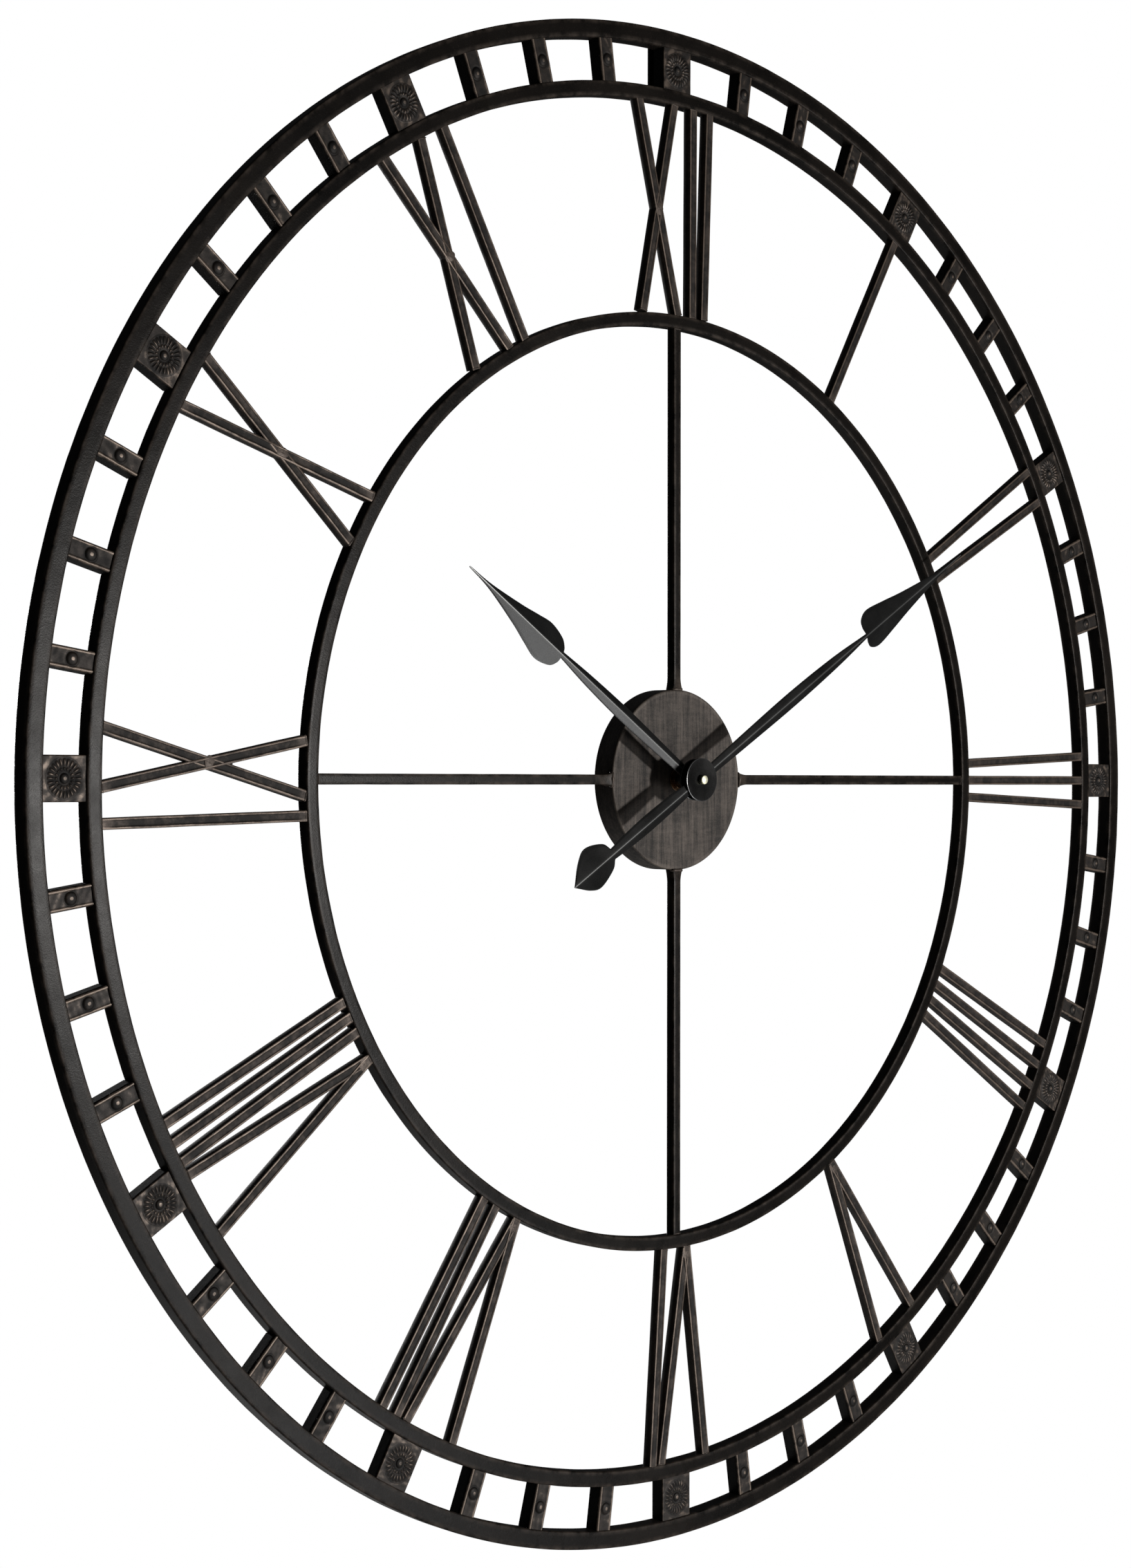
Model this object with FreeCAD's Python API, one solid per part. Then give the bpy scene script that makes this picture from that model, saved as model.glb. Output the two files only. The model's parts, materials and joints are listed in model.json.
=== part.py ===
"""Skeleton wall clock: three iron rings, welded Roman numerals, a hub drum and a battery movement.

+X is to the right and +Z is up for someone facing the dial, and +Y points into the wall. The origin
is the dial's centre on the wall plane. Depths are written as heights off the wall, so a height h
lies at y = -h. Clock angles run clockwise from 12. Sizes are millimetres, angles are degrees.
"""
import FreeCAD
import Part
import math
import os
from FreeCAD import Vector

# ---- rings ---------------------------------------------------------------------------------------
RING_PROUD = 1.2             # ring fronts in front of the drum's face
OUTER_RADIUS = 600.0         # outside of the whole dial
OUTER_TUBE = 14.0            # square tube of the outer ring
TILE_BAND = 33.0             # open band between the two outer rings, which the tiles cross
CHAPTER_TUBE = 12.0          # square tube of the ring that the numerals reach
INNER_RADIUS = 372.5         # outside of the ring that the numerals start from
INNER_TUBE = 11.0
RING_WALL = 1.4              # wall of the rolled square tubes
TUBE_CORNER = 1.2            # rounded corners of the rolled tubes

# ---- hub drum and spokes -------------------------------------------------------------------------
HUB_RADIUS = 72.0
HUB_SHEET = 1.2
HUB_EDGE = 1.5               # rolled edge round the drum's face
SPOKE_WIDTH = 8.0
SPOKE_WALL = 1.0
SPOKE_SET_BACK = 1.0         # spoke fronts behind the ring fronts
SPOKE_HOURS = (12, 3, 6, 9)

# ---- numerals ------------------------------------------------------------------------------------
BAR_WIDTH = 8.0              # square tube of the numeral strokes
BAR_WALL = 1.0
BAR_SET_BACK = 0.5
BAR_GROOVE_WIDTH = 4.6       # sunken centre line down each stroke's front
BAR_GROOVE_DEPTH = 0.5
X_HEAD = 40.5                # width of an X between its stroke centres at the chapter ring
X_FOOT = 39.0                # and at the inner ring
V_HEAD = 50.0
# letters of each numeral: kind, centre at the chapter ring, centre at the inner ring
NUMERALS = {
    1: [("I", 0, 0)],
    2: [("I", -15.5, -10), ("I", 15.5, 10)],
    3: [("I", -22.5, -15), ("I", 0, 0), ("I", 22.5, 15)],
    4: [("I", -31.5, -22.5), ("I", -10.5, -7.5), ("I", 10.5, 7.5), ("I", 31.5, 22.5)],
    5: [("V", 0, 0)],
    6: [("V", -8, -11), ("I", 27, 14.5)],
    7: [("V", -15.5, -16.5), ("I", 20, 7.5), ("I", 35.5, 21)],
    8: [("V", -21.5, -16.5), ("I", 14, 6.5), ("I", 29, 19), ("I", 44.5, 31.5)],
    9: [("I", -30, -26), ("X", 14.5, 7.5)],
    10: [("X", 0, 0)],
    11: [("X", -17.5, -13), ("I", 27.5, 24)],
    12: [("X", -23.5, -19), ("I", 18, 17), ("I", 37, 30.5)],
}

# ---- pressed tiles between the two outer rings ---------------------------------------------------
ROSETTE_WIDTH = 31.0
MARKER_WIDTH = 15.0
TILE_SET_BACK = 1.5          # tile faces behind the ring fronts
TILE_DEPTH = 11.5
TILE_WALL = 1.2
MARKERS_PER_HOUR = 3         # with equal gaps from tile to tile
MEDALLION_RADIUS = 13.6
MEDALLION_RISE = 0.7
DISH_RADIUS = 7.6
BOSS_RADIUS = 3.4
BOSS_RISE = 1.2
MARKER_BOSS_RADIUS = 4.4
MARKER_BOSS_RISE = 1.2

# ---- keyhole hanger behind the 12 ----------------------------------------------------------------
HANGER_WIDTH = 28.0
HANGER_SHEET = 2.0
HANGER_OVERLAP = 8.0         # how far the plate reaches behind each ring
KEYHOLE_RADIUS = 5.0         # passes the head of the wall screw
KEYHOLE_SLOT_WIDTH = 5.0     # fits its neck
KEYHOLE_SLOT_RISE = 10.0
KEYHOLE_DROP = 4.0           # keyhole centre below the middle of the gap

# ---- hands ---------------------------------------------------------------------------------------
HAND_SHEET = 0.9
HAND_FOLD = 17.0             # slope of each facet away from the ridge
HOUR_STANDOFF = 5.0          # ridge of the hour hand in front of the bushing's end
HAND_SPACING = 7.3           # from the hour hand's ridge to the minute hand's
HOUR_ANGLE = 303.5
MINUTE_ANGLE = 59.0
HOUR_LENGTH = 283.0
MINUTE_LENGTH = 384.0
HOUR_SPADE_START = 171.0
HOUR_SPADE_WIDEST = 190.0
HOUR_SPADE_HALF = 16.3
HOUR_SHAFT_HALF = 6.2
HOUR_NECK_HALF = 2.6
MINUTE_SPADE_START = 237.0
MINUTE_SPADE_WIDEST = 253.0
MINUTE_SPADE_HALF = 16.8
MINUTE_SHAFT_HALF = 6.4
MINUTE_NECK_HALF = 1.7
TAIL_NECK = 111.0
TAIL_NECK_HALF = 4.6
TAIL_SHAFT_HALF = 6.8
TAIL_WIDEST = 131.0
TAIL_LEAF_HALF = 17.5
TAIL_LENGTH = 159.0
SWELL = 0.55                 # share of the minute hand's shaft where it is widest
TAIL_SWELL = 0.58
STEP_SHARE = 0.45            # of a spade's half width, where the step out from its neck ends
STEP_RISE = 0.5
SHOULDER_SHARE = (0.80, 0.28)                       # of the half width, and of the way to the widest
TAPER_SHARES = ((0.80, 0.17), (0.52, 0.37), (0.14, 0.73))   # of the half width, and of the taper
LEAF_TIP_SHARE = (0.72, 0.45)                       # of the leaf's half width, and of its end
LEAF_ROOT_SHARE = 0.68
LEAF_ROOT_RISE = 4.5
ROOT_HALF = 4.0              # half width of either hand at its eye
TIP_HALF = 0.4
EYE_RADIUS = 9.0
SLEEVE_WALL = 2.0
HAND_DISC = 1.4              # thickness of the round discs over the eyes
HOUR_DISC_RADIUS = 16.5
MINUTE_DISC_RADIUS = 17.2
HOUR_SLEEVE = 4.0            # length of the sleeve behind each eye
MINUTE_SLEEVE = 5.3
CAP_WALL = 1.85
CAP_RISE = 3.8
CAP_FACE = 1.4               # metal in front of the arbor's end
CAP_EDGE = 1.0

# ---- movement ------------------------------------------------------------------------------------
CASE_TOP = 22.0              # above the shaft
CASE_WALL = 1.2
CASE_EDGE = 1.5
CASE_POST = 2.0              # square posts in the case's corners that carry the cover
COVER_THICKNESS = 1.2
TRAIN_DEPTH = 13.6           # room for the wheels between the cover and the case's front wall
GASKET_THICKNESS = 1.0
GASKET_RADIUS = 11.0
BUSHING_LENGTH = 15.9        # threaded bushing in front of the case
BUSHING_WALL = 0.92
THREAD_CLEARANCE = 0.1
WASHER_RADIUS = 8.8
WASHER_THICKNESS = 1.0
NUT_ACROSS_FLATS = 13.0
NUT_THICKNESS = 3.0
NUT_CHAMFER = 0.6            # off each corner at the nut's front
NUT_CHAMFER_SLOPE = 0.7
SHAFT_RADIUS = 2.05          # minute arbor, where it carries the hand
TUBE_WALL = 0.87             # hour tube
RUNNING_CLEARANCE = 0.08     # radial, between arbors, tubes and their bearings
ASSEMBLY_GAP = 0.1           # between parts that slip together
CELL_RADIUS = 7.25           # size AA
CELL_LENGTH = 50.5
CELL_EDGE = 0.5
CELL_NUB_RADIUS = 2.75
CELL_NUB = 1.2
CELL_ROOM = 0.3              # round the cell in its bay
CONTACT_ROOM = 1.55          # for a contact beyond each end of the cell
CONTACT_SHEET = 0.4
CONTACT_HALF = 4.0
CONTACT_DIMPLE = 2.0         # radius that touches the cell
SPRING_FOOT = 3.2            # radius of the coned spring where it starts
BAY_DROP = 17.7              # underside of the wall over the cell, below the shaft
BAY_WALL = 1.2

# ---- gear train: modules, teeth and directions from arbor to arbor -------------------------------
GOING_MODULE = 0.35          # third pinion into centre wheel
CENTRE_TEETH = 64
THIRD_PINION = 8
THIRD_MODULE = 0.30          # seconds pinion into third wheel
THIRD_TEETH = 60
SECONDS_PINION = 8
SECONDS_MODULE = 0.30        # intermediate pinion into seconds wheel
SECONDS_TEETH = 50
INTERMEDIATE_PINION = 10
ROTOR_MODULE = 0.22          # rotor pinion into intermediate wheel
INTERMEDIATE_TEETH = 60
ROTOR_PINION = 10
CANNON_MODULE = 0.40         # cannon pinion and setting pinion into minute wheel
CANNON_TEETH = 12
MINUTE_TEETH = 36
SETTING_PINION = 12
HOUR_TEETH = 48
MINUTE_PINION = 12
CENTRE_TO_THIRD = 60.0
THIRD_TO_SECONDS = 150.0
SECONDS_TO_INTERMEDIATE = -138.0
INTERMEDIATE_TO_ROTOR = -112.0
CENTRE_TO_MINUTE = -53.0
MINUTE_TO_SETTING = -70.0
TOOTH_SHARE = 0.42           # width of a tooth at the pitch circle, as a share of the pitch
ROOT_SHARE = 1.25            # width at the root and at the tip, as shares of that
TIP_SHARE = 0.42
ADDENDUM = 0.8               # in modules
DEDENDUM = 1.15
PIVOT_RADIUS = 0.5
ARBOR_RADIUS = 0.65
CENTRE_ARBOR_RADIUS = 1.5    # minute arbor among the wheels
STUD_RADIUS = 1.0
BEARING_WALL = 0.9
BEARING_END = 0.25           # metal left at the bottom of a bearing hole

# ---- setting knob --------------------------------------------------------------------------------
KNOB_ARBOR_RADIUS = 1.2
KNOB_RADIUS = 5.5
KNOB_THICKNESS = 1.5
KNOB_GAP = 0.2               # between the knob and the cover
KNOB_WALL_GAP = 0.4          # between the knob and the wall
KNOB_RIBS = 16
KNOB_NOTCH = 0.6             # radius of the notches between its ribs

# ---- stepping motor and circuit board ------------------------------------------------------------
MAGNET_RADIUS = 3.3
MAGNET_LENGTH = 2.2
MAGNET_GAP = 0.5             # radial, in the stator's bore
STATOR_SHEET = 1.0
STATOR_RIM = 1.2             # metal round the bore, and width of the return arm
CORE_HALF = 1.3
COIL_RADIUS = 2.6
COIL_LENGTH = 16.0
COIL_OFFSET = 8.0            # from the rotor's centre to the coil
COIL_DROP = 0.6              # coil centre below the rotor's
BOBBIN_SIDE = 5.6
BOBBIN_CHEEK = 0.8
BOARD_WIDTH = 12.5
BOARD_HEIGHT = 14.0
BOARD_THICKNESS = 0.8
BOARD_GAP = 0.6              # to the case's side wall
BOARD_LIFT = 2.6             # above the wall over the cell
CHIP_SIDE = 5.0
CHIP_HEIGHT = 1.0
CHIP_INSET = (3.0, 7.5)      # from the board's lower left corner
CRYSTAL_RADIUS = 1.0
CRYSTAL_LENGTH = 6.0
CRYSTAL_INSET = (2.0, 3.0)
PAD_HALF = 0.6               # glue pad under the crystal can
PAD_HEIGHT = 0.4

# ---- sizes that follow ---------------------------------------------------------------------------
HOUR_STEP = 360 / 12
EDGE_PICK = 0.1              # how far from a face an edge may lie and still be picked for rounding
OUTER_INSIDE = OUTER_RADIUS - OUTER_TUBE
CHAPTER_RADIUS = OUTER_INSIDE - TILE_BAND
CHAPTER_INSIDE = CHAPTER_RADIUS - CHAPTER_TUBE
INNER_INSIDE = INNER_RADIUS - INNER_TUBE
# the case holds the cell and the train, and the drum hides the case and the knob behind it
CASE_WIDTH = CELL_LENGTH + 2 * (CONTACT_ROOM + CASE_WALL)
CASE_DEPTH = CASE_WALL + max(COVER_THICKNESS + TRAIN_DEPTH, 2 * CELL_RADIUS + CELL_ROOM)
CASE_BACK = KNOB_WALL_GAP + KNOB_THICKNESS + KNOB_GAP
CASE_FRONT = CASE_BACK + CASE_DEPTH
HUB_BACK_OF_FACE = CASE_FRONT + GASKET_THICKNESS
HUB_FRONT = HUB_BACK_OF_FACE + HUB_SHEET
RING_FRONT = HUB_FRONT + RING_PROUD             # height of the rings' front faces off the wall
FLOOR = CASE_FRONT - CASE_WALL                  # inside of the case's front wall
COVER_FRONT = CASE_BACK + COVER_THICKNESS       # inside of the cover
CELL_HEIGHT = FLOOR - ASSEMBLY_GAP - CELL_RADIUS
BAY_TOP = -BAY_DROP
CELL_Z = BAY_TOP - CELL_ROOM - CELL_RADIUS
CASE_BOTTOM = CELL_Z - CELL_RADIUS - CELL_ROOM - CASE_WALL
# the hands ride on the shaft in front of the bushing
BUSHING_END = CASE_FRONT + BUSHING_LENGTH
HOUR_RIDGE = BUSHING_END + HOUR_STANDOFF
MINUTE_RIDGE = HOUR_RIDGE + HAND_SPACING
HOUR_DISC_FRONT = HOUR_RIDGE + HAND_DISC
MINUTE_DISC_FRONT = MINUTE_RIDGE + HAND_DISC
SHAFT_END = MINUTE_DISC_FRONT + CAP_RISE - CAP_FACE
TUBE_RADIUS = SHAFT_RADIUS + RUNNING_CLEARANCE + TUBE_WALL
THREAD_RADIUS = TUBE_RADIUS + RUNNING_CLEARANCE + BUSHING_WALL
THREAD_HOLE = THREAD_RADIUS + THREAD_CLEARANCE
SLEEVE_RADIUS = TUBE_RADIUS + SLEEVE_WALL
CAP_RADIUS = SHAFT_RADIUS + CAP_WALL
STATOR_BORE = MAGNET_RADIUS + MAGNET_GAP


def box(x0, x1, h0, h1, z0, z1):
    """A block between two x values, two heights off the wall and two z values."""
    return Part.makeBox(x1 - x0, h1 - h0, z1 - z0, Vector(x0, -h1, z0))


def rod(radius, h0, h1, at=(0, 0)):
    """A cylinder standing on the wall direction, between two heights."""
    return Part.makeCylinder(radius, h1 - h0, Vector(at[0], -h1, at[1]), Vector(0, 1, 0))


def collar(outer, bore, h0, h1, at=(0, 0)):
    return rod(outer, h0, h1, at).cut(rod(bore, h0, h1, at))


def turned(shape, angle):
    """The shape turned clockwise about the dial's centre."""
    copy = shape.copy()
    copy.rotate(Vector(0, 0, 0), Vector(0, 1, 0), angle)
    return copy


def fused(shapes):
    whole = shapes[0]
    if len(shapes) > 1:
        whole = whole.fuse(shapes[1:])
    return whole.removeSplitter()


def export(node, *solids):
    """Writes one node, which holds one solid or a group of separate ones."""
    shape = solids[0] if len(solids) == 1 else Part.makeCompound(list(solids))
    shape.exportStep("parts/" + node + ".step")


def beside(at, distance, angle):
    """The point at a distance and clock angle from another."""
    turn = math.radians(angle)
    return (at[0] + distance * math.sin(turn), at[1] + distance * math.cos(turn))


# ---- rings, spokes and drum ----------------------------------------------------------------------
def square_ring(outside, width):
    """A closed ring of square tube, its front face in the ring plane."""
    back = RING_FRONT - width
    skin = collar(outside, outside - width, back, RING_FRONT)
    skin = skin.makeFillet(TUBE_CORNER, [e for e in skin.Edges if e.isClosed()])
    hollow = collar(outside - RING_WALL, outside - width + RING_WALL, back + RING_WALL,
                    RING_FRONT - RING_WALL)
    return skin.cut(hollow)


def square_tube(half, wall, front, z0, z1):
    """A straight square tube along Z, as its outside and its inside."""
    skin = box(-half, half, front - 2 * half, front, z0, z1)
    inside = half - wall
    return skin, box(-inside, inside, front - half - inside, front - half + inside, z0, z1)


def spoke():
    """Square tube from the drum's wall to the inner ring, coped to both."""
    skin, hollow = square_tube(SPOKE_WIDTH / 2, SPOKE_WALL, RING_FRONT - SPOKE_SET_BACK,
                               0, INNER_RADIUS)
    reach = collar(INNER_INSIDE, HUB_RADIUS, 0, RING_FRONT)
    return skin.cut(hollow).common(reach)


def hub_drum():
    """Spun sheet cup, open at the back, that the movement hangs inside."""
    cup = rod(HUB_RADIUS, 0, HUB_FRONT)
    front_edge = [e for e in cup.Edges if e.isClosed() and e.CenterOfMass.y < -HUB_FRONT + EDGE_PICK]
    cup = cup.makeFillet(HUB_EDGE, front_edge)
    cup = cup.cut(rod(HUB_RADIUS - HUB_SHEET, 0, HUB_BACK_OF_FACE))
    return cup.cut(rod(THREAD_HOLE, 0, HUB_FRONT))


# ---- numerals ------------------------------------------------------------------------------------
def bar_between(head, foot, half, front, depth):
    """A straight bar of rectangular section from a point at the chapter ring to one at the inner
    ring, run a little long so that the rings can cope its ends."""
    length = CHAPTER_INSIDE - INNER_RADIUS
    lean = math.degrees(math.atan2(head - foot, length))
    spare = BAR_WIDTH
    bar = box(-half, half, front - depth, front, -spare, length / math.cos(math.radians(lean)) + spare)
    bar.rotate(Vector(0, 0, 0), Vector(0, 1, 0), lean)
    bar.translate(Vector(foot, 0, INNER_RADIUS))
    return bar


def strokes(kind, head, foot):
    """The straight strokes of a letter, as (x at the head, x at the foot)."""
    if kind == "X":
        return [(head - X_HEAD / 2, foot + X_FOOT / 2), (head + X_HEAD / 2, foot - X_FOOT / 2)]
    if kind == "V":
        return [(head - V_HEAD / 2, foot), (head + V_HEAD / 2, foot)]
    return [(head, foot)]


def letter(kind, head, foot):
    """One welded letter of square tube, with a sunken line down each stroke."""
    front = RING_FRONT - BAR_SET_BACK
    lines = strokes(kind, head, foot)
    inside = BAR_WIDTH / 2 - BAR_WALL
    skins = [bar_between(a, b, BAR_WIDTH / 2, front, BAR_WIDTH) for a, b in lines]
    hollows = [bar_between(a, b, inside, front - BAR_WALL, 2 * inside) for a, b in lines]
    grooves = [bar_between(a, b, BAR_GROOVE_WIDTH / 2, front, BAR_GROOVE_DEPTH) for a, b in lines]
    solid = fused(skins).cut(fused(hollows)).cut(fused(grooves))
    return solid.common(collar(CHAPTER_INSIDE, INNER_RADIUS, 0, RING_FRONT))


# ---- tiles ---------------------------------------------------------------------------------------
def dome(radius, rise, height, z):
    """A spherical cap on a face at a height off the wall."""
    ball = (radius * radius + rise * rise) / (2 * rise)
    sphere = Part.makeSphere(ball, Vector(0, -(height + rise - ball), z))
    return sphere.common(rod(radius, height - TILE_WALL / 2, height + rise, (0, z)))


def pan(width):
    """A pressed tile with side walls, open at the back, between the two outer rings."""
    front = RING_FRONT - TILE_SET_BACK
    back = front - TILE_DEPTH
    block = box(-width / 2, width / 2, back, front, CHAPTER_INSIDE, OUTER_RADIUS)
    block = block.common(collar(OUTER_INSIDE, CHAPTER_RADIUS, 0, RING_FRONT))
    side = width / 2 - TILE_WALL
    return block.cut(box(-side, side, back, front - TILE_WALL, CHAPTER_RADIUS + TILE_WALL,
                         OUTER_INSIDE - 2 * TILE_WALL))


def rosette():
    """Pan with a raised medallion, a dished middle and a domed boss."""
    front = RING_FRONT - TILE_SET_BACK
    middle = (0, (OUTER_INSIDE + CHAPTER_RADIUS) / 2)
    medallion = collar(MEDALLION_RADIUS, DISH_RADIUS, front - TILE_WALL / 2, front + MEDALLION_RISE,
                       middle)
    boss = dome(BOSS_RADIUS, BOSS_RISE, front, middle[1])
    return fused([pan(ROSETTE_WIDTH), medallion, boss])


def marker():
    """Narrow pan with a domed boss."""
    middle = (OUTER_INSIDE + CHAPTER_RADIUS) / 2
    boss = dome(MARKER_BOSS_RADIUS, MARKER_BOSS_RISE, RING_FRONT - TILE_SET_BACK, middle)
    return fused([pan(MARKER_WIDTH), boss])


def marker_angles():
    """Clock angles of the markers that follow an hour, with equal gaps from tile to tile."""
    middle = (OUTER_INSIDE + CHAPTER_RADIUS) / 2
    rosette_turn = 2 * math.degrees(math.asin(ROSETTE_WIDTH / 2 / middle))
    marker_turn = 2 * math.degrees(math.asin(MARKER_WIDTH / 2 / middle))
    gap = (HOUR_STEP - rosette_turn - MARKERS_PER_HOUR * marker_turn) / (MARKERS_PER_HOUR + 1)
    first = (rosette_turn + marker_turn) / 2 + gap
    return [first + number * (marker_turn + gap) for number in range(MARKERS_PER_HOUR)]


def hanger():
    """Pressed bridge behind the 12: a plate at the wall plane on two legs up to the rings' backs."""
    half = HANGER_WIDTH / 2
    low = CHAPTER_RADIUS - HANGER_OVERLAP
    high = OUTER_INSIDE + HANGER_OVERLAP
    plate = box(-half, half, 0, HANGER_SHEET, low, high)
    low_leg = box(-half, half, 0, RING_FRONT - CHAPTER_TUBE, low, low + HANGER_SHEET)
    high_leg = box(-half, half, 0, RING_FRONT - OUTER_TUBE, high - HANGER_SHEET, high)
    key_z = (OUTER_INSIDE + CHAPTER_RADIUS) / 2 - KEYHOLE_DROP
    slot = KEYHOLE_SLOT_WIDTH / 2
    top = key_z + KEYHOLE_SLOT_RISE
    keyhole = fused([
        rod(KEYHOLE_RADIUS, 0, HANGER_SHEET, (0, key_z)),
        box(-slot, slot, 0, HANGER_SHEET, key_z, top),
        rod(slot, 0, HANGER_SHEET, (0, top)),
    ])
    return fused([plate, low_leg, high_leg]).cut(keyhole)


# ---- hands ---------------------------------------------------------------------------------------
def arc(a, b, c):
    points = [Vector(half, 0, radius) for half, radius in (a, b, c)]
    return Part.Arc(*points).toShape()


def curve(points):
    spline = Part.BSplineCurve()
    spline.interpolate([Vector(half, 0, radius) for half, radius in points])
    return spline.toShape()


def line(a, b):
    return Part.makeLine(Vector(a[0], 0, a[1]), Vector(b[0], 0, b[1]))


def folded(edges, ridge):
    """A hand of sheet folded along its middle. The edges run up one side, and the fold line
    closes them. The ridge is at a height off the wall, and both sides fall away from it."""
    start = edges[0].Vertexes[0].Point
    end = edges[-1].Vertexes[-1].Point
    edges = edges + [line((end.x, end.z), (0, end.z)), line((0, end.z), (0, start.z))]
    if start.x > 0:
        edges.append(line((0, start.z), (start.x, start.z)))
    side = Part.Face(Part.Wire(Part.__sortEdges__(edges))).extrude(Vector(0, HAND_SHEET, 0))
    side.rotate(Vector(0, 0, 0), Vector(0, 0, 1), HAND_FOLD)
    other = side.mirror(Vector(0, 0, 0), Vector(1, 0, 0))
    blade = side.fuse(other)
    blade.translate(Vector(0, -ridge, 0))
    eye = rod(EYE_RADIUS, ridge - HAND_SHEET, ridge)
    # the eye is pressed flat
    blade = blade.cut(rod(EYE_RADIUS, ridge - 2 * EYE_RADIUS, ridge))
    return fused([blade, eye]).cut(rod(SLEEVE_RADIUS, 0, ridge))


def spade(start, widest, half, neck_half, length):
    """Edges of a spade head: a short step out from the neck, a round shoulder and a long taper."""
    step = (half * STEP_SHARE, start + STEP_RISE)
    shoulder = (half * SHOULDER_SHARE[0], start + (widest - start) * SHOULDER_SHARE[1])
    taper = [(half * across, widest + (length - widest) * along) for across, along in TAPER_SHARES]
    return [
        line((neck_half, start), step),
        curve([step, shoulder, (half, widest)] + taper + [(TIP_HALF, length)]),
    ]


def hour_hand():
    middle = (HOUR_SPADE_START + EYE_RADIUS) / 2
    edges = [arc((ROOT_HALF, 0), (HOUR_SHAFT_HALF, middle), (HOUR_NECK_HALF, HOUR_SPADE_START))]
    edges += spade(HOUR_SPADE_START, HOUR_SPADE_WIDEST, HOUR_SPADE_HALF, HOUR_NECK_HALF, HOUR_LENGTH)
    return turned(folded(edges, HOUR_RIDGE), HOUR_ANGLE)


def minute_hand():
    """Longer hand with a leaf-shaped counterweight on its tail."""
    end = TAIL_LENGTH - TAIL_WIDEST
    leaf_tip = (TAIL_LEAF_HALF * LEAF_TIP_SHARE[0], -TAIL_WIDEST - end * LEAF_TIP_SHARE[1])
    leaf_root = (TAIL_LEAF_HALF * LEAF_ROOT_SHARE, -TAIL_NECK - LEAF_ROOT_RISE)
    edges = [
        curve([(0, -TAIL_LENGTH), leaf_tip, (TAIL_LEAF_HALF, -TAIL_WIDEST), leaf_root,
               (TAIL_NECK_HALF, -TAIL_NECK)]),
        arc((TAIL_NECK_HALF, -TAIL_NECK), (TAIL_SHAFT_HALF, -TAIL_NECK * TAIL_SWELL), (ROOT_HALF, 0)),
        arc((ROOT_HALF, 0), (MINUTE_SHAFT_HALF, MINUTE_SPADE_START * SWELL),
            (MINUTE_NECK_HALF, MINUTE_SPADE_START)),
    ]
    edges += spade(MINUTE_SPADE_START, MINUTE_SPADE_WIDEST, MINUTE_SPADE_HALF, MINUTE_NECK_HALF,
                   MINUTE_LENGTH)
    return turned(folded(edges, MINUTE_RIDGE), MINUTE_ANGLE)


def hand_hub(ridge, sleeve, disc_radius, bore):
    """Sleeve through a hand's eye with a round disc in front of it."""
    hub = fused([rod(SLEEVE_RADIUS, ridge - sleeve, ridge), rod(disc_radius, ridge, ridge + HAND_DISC)])
    return hub.cut(rod(bore, ridge - sleeve, ridge + HAND_DISC))


def shaft_cap():
    """Domed cap nut over the end of the minute arbor."""
    cap = rod(CAP_RADIUS, MINUTE_DISC_FRONT, MINUTE_DISC_FRONT + CAP_RISE)
    front = [e for e in cap.Edges if e.isClosed() and e.CenterOfMass.y < -MINUTE_DISC_FRONT - EDGE_PICK]
    cap = cap.makeFillet(CAP_EDGE, front)
    return cap.cut(rod(SHAFT_RADIUS, MINUTE_DISC_FRONT, SHAFT_END))


# ---- gears ---------------------------------------------------------------------------------------
def pitch_radius(teeth, module):
    return teeth * module / 2


def spacing(module, teeth, pinion):
    return module * (teeth + pinion) / 2


def meshed(phase, teeth, direction, other_teeth):
    """Phase of a gear that meshes with one of a known phase, from the direction between them."""
    return direction + 180 + 180 / other_teeth - (phase - direction) * teeth / other_teeth


def gear(teeth, module, h0, h1, at=(0, 0), phase=0.0):
    """Spur gear with straight-sided teeth, one tooth centred on the phase's clock angle."""
    pitch = pitch_radius(teeth, module)
    tip = pitch + ADDENDUM * module
    root = pitch - DEDENDUM * module
    half = math.pi * TOOTH_SHARE / teeth
    flank = [(root, half * ROOT_SHARE), (pitch, half), (tip, half * TIP_SHARE)]
    tooth = [(r, -a) for r, a in flank] + [(r, a) for r, a in reversed(flank)]
    corners = []
    for number in range(teeth):
        centre = math.radians(phase) + 2 * math.pi * number / teeth
        for radius, angle in tooth:
            turn = centre + angle
            corners.append(Vector(at[0] + radius * math.sin(turn), -h1, at[1] + radius * math.cos(turn)))
    corners.append(corners[0])
    return Part.Face(Part.makePolygon(corners)).extrude(Vector(0, h1 - h0, 0))


CENTRE = (0.0, 0.0)
THIRD = beside(CENTRE, spacing(GOING_MODULE, CENTRE_TEETH, THIRD_PINION), CENTRE_TO_THIRD)
SECONDS = beside(THIRD, spacing(THIRD_MODULE, THIRD_TEETH, SECONDS_PINION), THIRD_TO_SECONDS)
INTERMEDIATE = beside(SECONDS, spacing(SECONDS_MODULE, SECONDS_TEETH, INTERMEDIATE_PINION),
                      SECONDS_TO_INTERMEDIATE)
ROTOR = beside(INTERMEDIATE, spacing(ROTOR_MODULE, INTERMEDIATE_TEETH, ROTOR_PINION),
               INTERMEDIATE_TO_ROTOR)
MOTION_SPACING = spacing(CANNON_MODULE, MINUTE_TEETH, CANNON_TEETH)
MOTION_MODULE = 2 * MOTION_SPACING / (HOUR_TEETH + MINUTE_PINION)
MINUTE = beside(CENTRE, MOTION_SPACING, CENTRE_TO_MINUTE)
SETTING = beside(MINUTE, spacing(CANNON_MODULE, MINUTE_TEETH, SETTING_PINION), MINUTE_TO_SETTING)

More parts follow.
